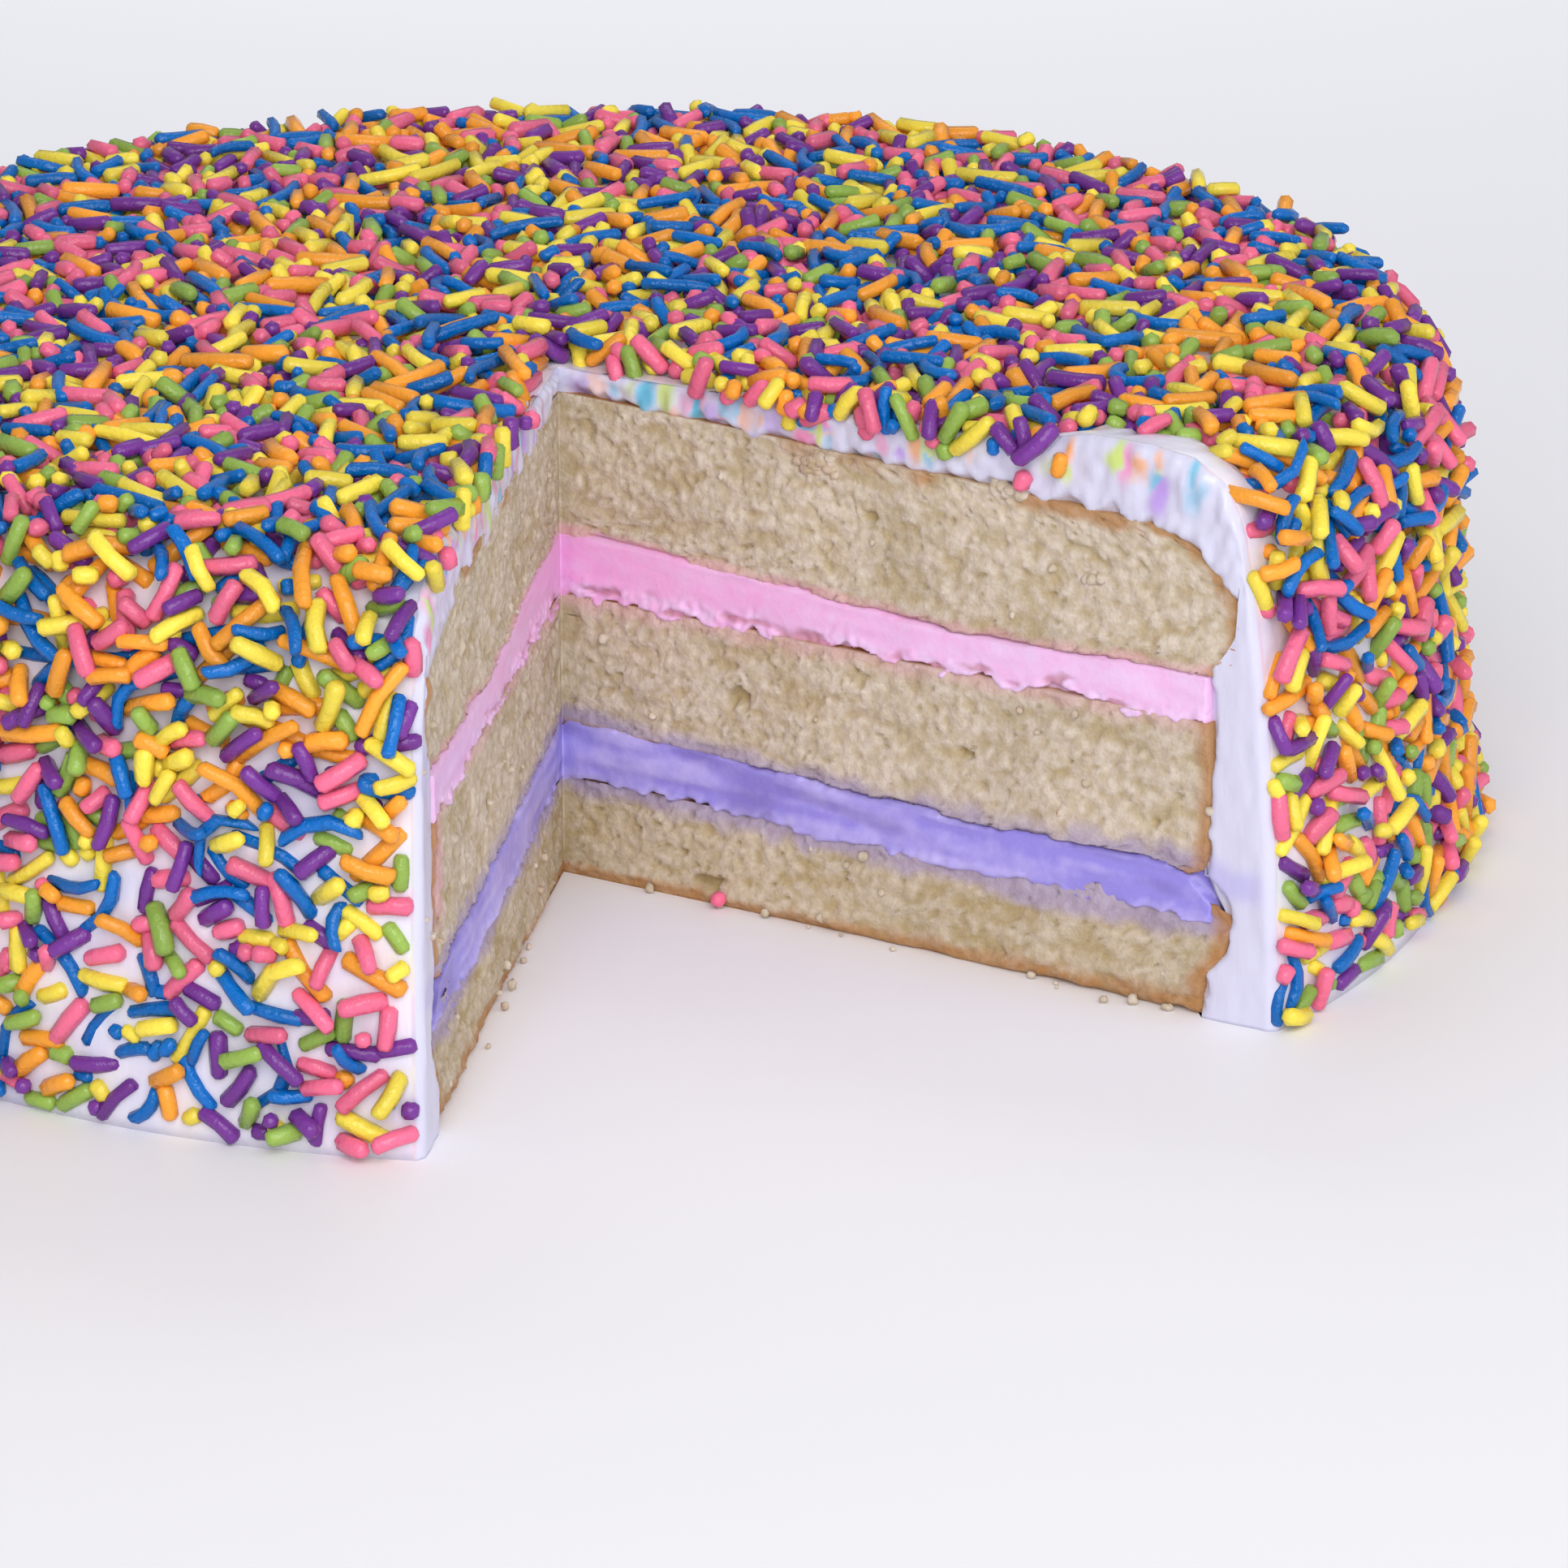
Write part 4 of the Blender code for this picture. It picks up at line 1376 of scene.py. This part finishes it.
def dye_on_skin(grid_spots, sprinkles):
    """Colour and strength of the dye that the nearest rods leave in the frosting."""
    cell = 1.6
    low = grid_spots.reshape(-1, 3).min(0) - 3 * cell
    high = grid_spots.reshape(-1, 3).max(0) + 3 * cell
    shape = tuple(np.ceil((high - low) / cell).astype(int) + 2)
    sums = np.zeros((*shape, 4))
    for name, colour in sprinkles.items():
        mesh = bpy.data.objects[f"{name}_sprinkles"].data
        points = np.empty(len(mesh.vertices) * 3, np.float32)
        mesh.vertices.foreach_get("co", points)
        points = points.reshape(-1, 3)[::4] / MM
        cells = np.clip(((points - low) / cell).astype(int), 0, np.array(shape) - 1)
        np.add.at(sums, tuple(cells.T), np.array([*colour, 1.0]))
    for axis in range(3):
        sums = sums + 0.5 * (np.roll(sums, 1, axis) + np.roll(sums, -1, axis))
    found = sums[tuple(np.moveaxis(((grid_spots - low) / cell).astype(int), -1, 0))]
    return found[..., :3] / np.maximum(found[..., 3:], 1e-6), np.clip(found[..., 3] / 14.0, 0, 1)


def frosting_section(step):
    """The frosting's inner and outer outlines, as points that face each other."""
    parts = (
        (HOLLOW_CROWN, SKIN_CROWN),
        (HOLLOW_SHOULDER, SKIN_SHOULDER),
        (HOLLOW_SIDE, SKIN_SIDE),
    )
    inner, outer = [], []
    for hollow, skin in parts:
        length = np.linalg.norm(np.diff(np.array(skin), axis=0), axis=1).sum()
        count = steps_for(length, step, FROSTING_GROUP)
        start = 1 if inner else 0
        inner.extend(resampled(hollow, count + 1)[start:])
        outer.extend(resampled(skin, count + 1)[start:])
    return np.array(inner), np.array(outer)


def join_channels(made):
    """Turns the four values at each point into one colour attribute, the dye, which also carries painted
    shade.
    """
    dye = made.data.attributes.new("dye", "FLOAT_COLOR", "POINT")
    channels = []
    for name in DYE_CHANNELS:
        numbers = np.empty(len(made.data.vertices), np.float32)
        made.data.attributes[name].data.foreach_get("value", numbers)
        channels.append(numbers)
    dye.data.foreach_set("color", np.stack(channels, -1).ravel())
    for name in DYE_CHANNELS:
        made.data.attributes.remove(made.data.attributes[name])


def frosting_skin(sweep, outer):
    """Points of the frosting's softly wavy outside, from its outline and angles about the apex."""
    points = place(sweep[:, None], outer[None, :, 0], outer[None, :, 1])
    wave = 0.3 * noise(points, 13.0, 31) + 0.16 * noise(points * [1, 1, 0.6], 4.5, 32)
    slopes = np.gradient(outer, axis=0)
    slopes /= np.linalg.norm(slopes, axis=1)[:, None]
    angles = np.arctan2(points[..., 1], points[..., 0])
    outward, upward = -slopes[:, 1], slopes[:, 0] + 0 * angles
    way = np.stack([outward * np.cos(angles), outward * np.sin(angles), upward], -1)
    on_floor = ramp(0.0, 2.0, points[..., 2])
    raised = SHOULDER_RISE * bare_patch(points) * ramp(*PATCH_HEIGHTS, points[..., 2])
    points = points + way * (wave * on_floor)[..., None]
    points[..., 2] += raised
    return points


def frosting_lift(lengths, heights, share, raised, cut):
    """How far the frosting on a cut is lifted: up with the bare patch, down where its edge droops."""
    seed = cut.seed + 90
    droop = 1.3 + 1.0 * edge_noise(lengths, 3.6, seed) + 0.6 * edge_noise(lengths, 1.4, seed + 1)
    if cut is LEFT:
        droop += 2.4 * ramp(4.0, 14.0, lengths) + 0.9 * edge_noise(lengths, 2.2, seed)
    droop = np.clip(droop, 0, 6) * ramp(*BAND_HEIGHTS, heights)
    return raised * share - droop * (1 - share) ** 2


def frosting_piece(context):
    """The white frosting: a soft skin, lumpy where the knife cut it, with smears of dye, and painted shade
    on the top and on the cuts.
    """
    sizes, colours = context.scene.cake_sizes, context.scene.cake_colours
    step = sizes.face_step * FROSTING_STEPS
    inner, outer = frosting_section(step)
    up = steps_for(FROSTING_THICK, step, FROSTING_GROUP)
    v = np.linspace(0, 1, up + 1)[None, :, None]
    grid = inner[:, None] * (1 - v) + outer[:, None] * v
    work = Patchwork(*DYE_CHANNELS)
    turns = int((END - START) * CUT_END_RADIUS / sizes.skin_step)
    sweep = np.linspace(START + BEHIND / 2, END - BEHIND / 2, turns)

    skin_points = frosting_skin(sweep, outer[::FROSTING_GROUP])
    chosen = {name: np.array(getattr(colours, name)) for name in COLOUR_NAMES}
    tint, amount = dye_on_skin(skin_points, chosen)
    # On the top the dye is laid on stronger and 35% darker: dye, darkened as painted shade between the
    # rods.
    on_top = ramp(60.0, 66.0, skin_points[..., 2])
    amount = amount * (0.26 + 0.4 * on_top)
    tint = tint * (1 - 0.35 * on_top)[..., None]
    skin = work.add(skin_points, red=tint[..., 0], green=tint[..., 1], blue=tint[..., 2], amount=amount)
    work.fill(skin)

    coarse = inner[:: FROSTING_GROUP * 4]
    hollow = work.add(place(sweep[:, None], coarse[None, :, 0], coarse[None, :, 1]))
    work.fill(hollow)
    work.join(skin[:, -1], hollow[:, -1])

    for cut, row in ((RIGHT, 0), (LEFT, -1)):
        lengths = ray_length(cut.angle, grid[..., 0])
        spots = np.stack([lengths, grid[..., 1]], -1)
        push, values = frosting_relief(spots, grid, cut, inner, outer)
        bare = bare_patch(face_points(cut, grid, push, 0.0))
        raised = SHOULDER_RISE * bare * ramp(*PATCH_HEIGHTS, outer[:, None, 1])
        lift = frosting_lift(lengths, grid[..., 1], v[..., 0], raised, cut)
        face = work.add(face_points(cut, grid, push, lift), **values)
        work.fill(face)
        work.join(face[:, -1], skin[row])
        work.join(face[:, 0], hollow[row])
        foot = work.add(work.at([skin[row, -1], hollow[row, -1]]))
        work.join(face[-1, ::-1], foot)
    made = work.finish("frosting_coat", frosting_material(colours))
    join_channels(made)
    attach(made, "root")
    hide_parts("frosting")


def shade_and_dye_on_cut(spots, from_skin, cut, seed):
    """Colour of the frosting on a cut: painted shade, darker and cooler than the skin, with spots of dye
    along the top and a smear low on the side.
    """
    along, height = spots[..., 0], spots[..., 1]
    draw = np.random.default_rng(seed)
    tint = np.ones((*along.shape, 3))
    amount = np.zeros(along.shape)
    limit = float(ray_length(cut.angle, DYE_RADIUS))
    warped = spots + 0.6 * np.stack([noise(spots, 1.6, seed + 6), noise(spots, 1.6, seed + 7)], -1)
    for _ in range(DYE_SPOTS):
        centre = draw.uniform(2.0, limit)
        top = float(np.interp(centre * DYE_RADIUS / limit, *CROWN.T))
        level = top - 1.0 - abs(draw.normal(0, 1.6))
        wide, tall = draw.uniform(0.5, 2.2), draw.uniform(0.6, 2.4)
        spread = np.hypot((warped[..., 0] - centre) / wide, (warped[..., 1] - level) / tall)
        strength = draw.uniform(0.3, 0.85) * ramp(1.2, 0.3, spread)
        dye = np.array(linear(DYES[draw.integers(len(DYES))]))
        tint = np.where((strength > amount)[..., None], dye, tint)
        amount = np.maximum(amount, strength)
    smear = ramp(1.0, 0.2, np.abs((height - 18.5 + 0.9 * noise(spots, 4.0, seed + 8)) / 3.2)) * 0.35
    smear = smear * (along > 90) * ramp(0.0, 0.5, from_skin / 8)
    tint = np.where((smear > amount)[..., None], np.array(linear("#9A8CE8")), tint)
    # The spots and the smear are laid over the cut's painted shade.
    return CUT_FROSTING_PAINTED_SHADE + (tint - CUT_FROSTING_PAINTED_SHADE) * np.maximum(amount, smear)[..., None]


def frosting_relief(spots, grid, cut, inner, outer):
    """Relief and colour of the frosting on a cut, dye over painted shade: lumpy along the top, smooth down
    the side.
    """
    seed = cut.seed + 80
    height = spots[..., 1]
    thick = np.linalg.norm(outer - inner, axis=1)[:, None]
    share = np.linspace(0, 1, grid.shape[1])[None]
    from_cake, from_skin = thick * share, thick * (1 - share)
    on_top = ramp(*BAND_HEIGHTS, height)
    lumps, _ = grains(spots, 2.4, seed)
    push = 0.3 + 0.28 * noise(spots, 7.0, seed + 1) + 0.1 * noise(spots * [1.0, 0.4], 1.2, seed + 2)
    push += on_top * (0.6 * (0.45 - lumps) + 0.2 * noise(spots, 1.1, seed + 3))
    ragged = 0.7 + 0.6 * noise(spots, 3.0, seed + 4) + 0.35 * noise(spots, 1.2, seed + 5)
    push -= 1.5 * ramp(ragged + 1.2, ragged, from_cake)
    push -= 0.9 * ramp(1.2, 0.0, from_skin) ** 2
    tint = shade_and_dye_on_cut(spots, from_skin, cut, seed)
    return push, {"red": tint[..., 0], "green": tint[..., 1], "blue": tint[..., 2], "amount": 1.0}


# ---- crumbs and stage


CRUMB_SEED = 77
# Crumbs keep this far above the floor.
LEAST_HEIGHT = 0.02


def lump(draw, centre, size):
    """One rough crumb as points and triangles, from a squashed twelve-sided ball."""
    golden = (1 + 5**0.5) / 2
    signs = [(a, b) for a in (-1, 1) for b in (-golden, golden)]
    points = [(0, a, b) for a, b in signs] + [(a, b, 0) for a, b in signs] + [(b, 0, a) for a, b in signs]
    builder = bmesh.new()
    verts = [builder.verts.new(point) for point in points]
    bmesh.ops.convex_hull(builder, input=verts)
    bmesh.ops.subdivide_edges(builder, edges=builder.edges, cuts=1, use_grid_fill=True)
    bmesh.ops.triangulate(builder, faces=builder.faces)
    builder.verts.ensure_lookup_table()
    found = np.array([vert.co[:] for vert in builder.verts])
    faces = np.array([[vert.index for vert in face.verts] for face in builder.faces])
    builder.free()
    found /= np.linalg.norm(found, axis=1)[:, None]
    knobs = 0.28 * noise(found * 10 + centre, 6.0, 3)[:, None]
    found *= 1 + knobs + 0.12 * draw.uniform(-1, 1, (len(found), 1))
    shaped = centre + found * size * draw.uniform(0.7, 1.2, 3)
    shaped[:, 2] += max(0.0, LEAST_HEIGHT - shaped[:, 2].min())
    return shaped, faces


# Torn clumps on the right cut: distance from the apex, height, how many crumbs and their spread.
CLUMPS = ((38.5, 61.6, 22, 1.1), (67.5, 62.9, 10, 0.7), (79.0, 53.5, 5, 0.5))
# Heights between which crumbs cling to the three sponges.
SPONGE_SPANS = ((1.5, 12.0), (22.0, 36.0), (46.0, 60.0))


def crumb_pieces(context):
    """Loose crumbs: some clinging to the cuts, some fallen along the foot of the slice."""
    sizes = context.scene.cake_sizes
    draw = np.random.default_rng(CRUMB_SEED)
    lumps = []
    for along, height, many, spread in CLUMPS:
        for _ in range(many):
            level = height + 0.5 * draw.normal(0, spread)
            reach = along + 1.4 * draw.normal(0, spread)
            out = draw.uniform(-0.6, 0.15)
            lumps.append(lump(draw, RIGHT.spot(reach, level, out), draw.uniform(0.6, 1.3)))
    for number in range(sizes.crumbs):
        cut = RIGHT if draw.random() < 0.6 else LEFT
        size = draw.uniform(0.25, 0.7)
        along = draw.uniform(6.0, 100.0)
        if number % 4 == 0:
            out = 0.4 + abs(draw.normal(0, 1.4))
            height = size * 0.7
        else:
            out = 0.15
            height = draw.choice([draw.uniform(*span) for span in SPONGE_SPANS])
        lumps.append(lump(draw, cut.spot(along, height, out), size))
    starts = np.cumsum([0] + [len(points) for points, _faces in lumps])
    points = np.concatenate([points for points, _faces in lumps])
    triangles = np.concatenate([faces + start for (_points, faces), start in zip(lumps, starts)])
    values = {name: np.zeros(len(points)) for name in CRUMB_LAYERS}
    values["brown"] = 0.25 * (noise(points, 6.0, 5) > 0.3)
    material = bpy.data.materials[CRUMB_MATERIAL]
    made = link_mesh("sponge_crumbs", points, triangles, values, material)
    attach(made, "root")


def floor_material(colours):
    """Matt white paint, rolled on: pale, even, with the faintest sheen."""
    made, tree, surface, spots = new_material("matt_white_paint_rolled", {"Roughness": 0.55})
    mottle = add_node(tree, "ShaderNodeTexNoise", {"Vector": spots, "Scale": 3.0, "Detail": 2.0})
    shade = add_node(
        tree, "ShaderNodeMapRange", {"Value": mottle.outputs["Fac"], "To Min": 0.985, "To Max": 1.0}
    )
    toned = add_node(
        tree, "ShaderNodeHueSaturation", {"Color": opaque(colours.floor), "Value": shade.outputs["Result"]}
    )
    tree.links.new(toned.outputs["Color"], surface.inputs["Base Color"])
    return made


def add_area_light(name, spot, target, size, power, colour):
    """A soft square lamp that faces its target."""
    data = bpy.data.lights.new(name, "AREA")
    data.shape = "SQUARE"
    data.size = size
    data.energy = power
    data.color = colour
    made = bpy.data.objects.new(name, data)
    made.location = spot
    made.rotation_euler = (Vector(target) - Vector(spot)).to_track_quat("-Z", "Y").to_euler()
    bpy.context.scene.collection.objects.link(made)
    return made


def from_view(right, back, height):
    """A place given by its distances to the right of the view, away from the camera and up."""
    c, s = math.cos(VIEW_AZIMUTH), math.sin(VIEW_AZIMUTH)
    return (right * c - back * s, right * s + back * c, height)


FLOOR_REACH = 3.0


def studio(context):
    """The floor, the soft lamps and the camera."""
    colours = context.scene.cake_colours
    mesh = bpy.data.meshes.new("studio_floor")
    corners = [(x * FLOOR_REACH, y * FLOOR_REACH, 0) for x, y in ((-1, -1), (1, -1), (1, 1), (-1, 1))]
    mesh.from_pydata(corners, [], [(0, 1, 2, 3)])
    mesh.materials.append(floor_material(colours))
    floor = bpy.data.objects.new("studio_floor", mesh)
    bpy.context.scene.collection.objects.link(floor)

    world = bpy.data.worlds.new("studio_air")
    world.use_nodes = True
    background = world.node_tree.nodes["Background"]
    background.inputs["Color"].default_value = (0.95, 0.96, 1.0, 1.0)
    background.inputs["Strength"].default_value = 0.42
    context.scene.world = world
    # Colours are shown as they are, without a film curve.
    context.scene.view_settings.view_transform = "Standard"
    add_area_light("key_lamp", from_view(0.05, -1.12, 0.68), (0, 0, 0.03), 0.85, 11.7, (1.0, 0.985, 0.97))
    add_area_light("fill_lamp", from_view(0.95, -0.55, 0.6), (0, 0, 0.03), 0.9, 2.9, (0.96, 0.97, 1.0))
    behind = add_area_light(
        "back_lamp", from_view(0.0, 1.0, 1.0), from_view(0.0, 1.0, 0.0), 0.9, 3.2, (0.98, 0.98, 1.0)
    )
    behind.data.spread = math.radians(110.0)

    data = bpy.data.cameras.new("photo_camera")
    data.sensor_width = SENSOR
    data.lens = SENSOR * FOCAL_PIXELS / FRAME_PIXELS
    data.clip_start = 0.05
    data.clip_end = 20.0
    camera = bpy.data.objects.new("photo_camera", data)
    flat = VIEW_DISTANCE * math.cos(VIEW_ELEVATION)
    camera.location = (
        flat * math.sin(VIEW_AZIMUTH),
        -flat * math.cos(VIEW_AZIMUTH),
        VIEW_TARGET_HEIGHT + VIEW_DISTANCE * math.sin(VIEW_ELEVATION),
    )
    camera.rotation_euler = (math.pi / 2 + VIEW_PITCH, 0, VIEW_AZIMUTH - VIEW_PAN)
    context.scene.collection.objects.link(camera)
    context.scene.camera = camera


# ---- operators and panel


class CAKE_OT_sponge(Operator):
    """Adds the three sponge layers."""

    bl_idname = "cake.sponge"
    bl_label = "Sponge layers"

    def execute(self, context):
        sponge_layers(context)
        return {"FINISHED"}


class CAKE_OT_fillings(Operator):
    """Adds the pink and lavender fillings."""

    bl_idname = "cake.fillings"
    bl_label = "Fillings"

    def execute(self, context):
        filling_layers(context)
        return {"FINISHED"}


class CAKE_OT_sprinkles(Operator):
    """Adds the sugar sprinkles, one piece for each colour."""

    bl_idname = "cake.sprinkles"
    bl_label = "Sprinkles"

    def execute(self, context):
        sprinkle_pieces(context)
        return {"FINISHED"}


class CAKE_OT_frosting(Operator):
    """Adds the frosting, stained by the sprinkles already laid, with painted shade on the top and the cuts.
    """

    bl_idname = "cake.frosting"
    bl_label = "Frosting"

    def execute(self, context):
        frosting_piece(context)
        return {"FINISHED"}


class CAKE_OT_crumbs(Operator):
    """Adds loose crumbs on the cuts and along the foot of the slice."""

    bl_idname = "cake.crumbs"
    bl_label = "Crumbs"

    def execute(self, context):
        crumb_pieces(context)
        return {"FINISHED"}


class CAKE_OT_studio(Operator):
    """Adds the floor, lamps and camera."""

    bl_idname = "cake.studio"
    bl_label = "Studio"

    def execute(self, context):
        studio(context)
        return {"FINISHED"}


OPERATORS = (
    CAKE_OT_sponge,
    CAKE_OT_fillings,
    CAKE_OT_sprinkles,
    CAKE_OT_frosting,
    CAKE_OT_crumbs,
    CAKE_OT_studio,
)


class CAKE_PT_pieces(Panel):
    """Lists the cake's sizes, colours and pieces."""

    bl_idname = "CAKE_PT_pieces"
    bl_label = "Sprinkle cake"
    bl_space_type = "VIEW_3D"
    bl_region_type = "UI"
    bl_category = "Cake"

    def draw(self, context):
        for group in (context.scene.cake_sizes, context.scene.cake_colours):
            for name in group.bl_rna.properties.keys():
                if name not in ("rna_type", "name"):
                    self.layout.prop(group, name)
        for operator in OPERATORS:
            self.layout.operator(operator.bl_idname)


CLASSES = (CakeSizes, CakeColours, *OPERATORS, CAKE_PT_pieces)


def register():
    for kind in CLASSES:
        bpy.utils.register_class(kind)
    bpy.types.Scene.cake_sizes = PointerProperty(type=CakeSizes)
    bpy.types.Scene.cake_colours = PointerProperty(type=CakeColours)


def unregister():
    del bpy.types.Scene.cake_colours
    del bpy.types.Scene.cake_sizes
    for kind in reversed(CLASSES):
        bpy.utils.unregister_class(kind)


def main():
    register()
    bpy.ops.cake.sponge()
    bpy.ops.cake.fillings()
    bpy.ops.cake.sprinkles()
    bpy.ops.cake.frosting()
    bpy.ops.cake.crumbs()
    bpy.ops.cake.studio()


if __name__ == "__main__":
    main()
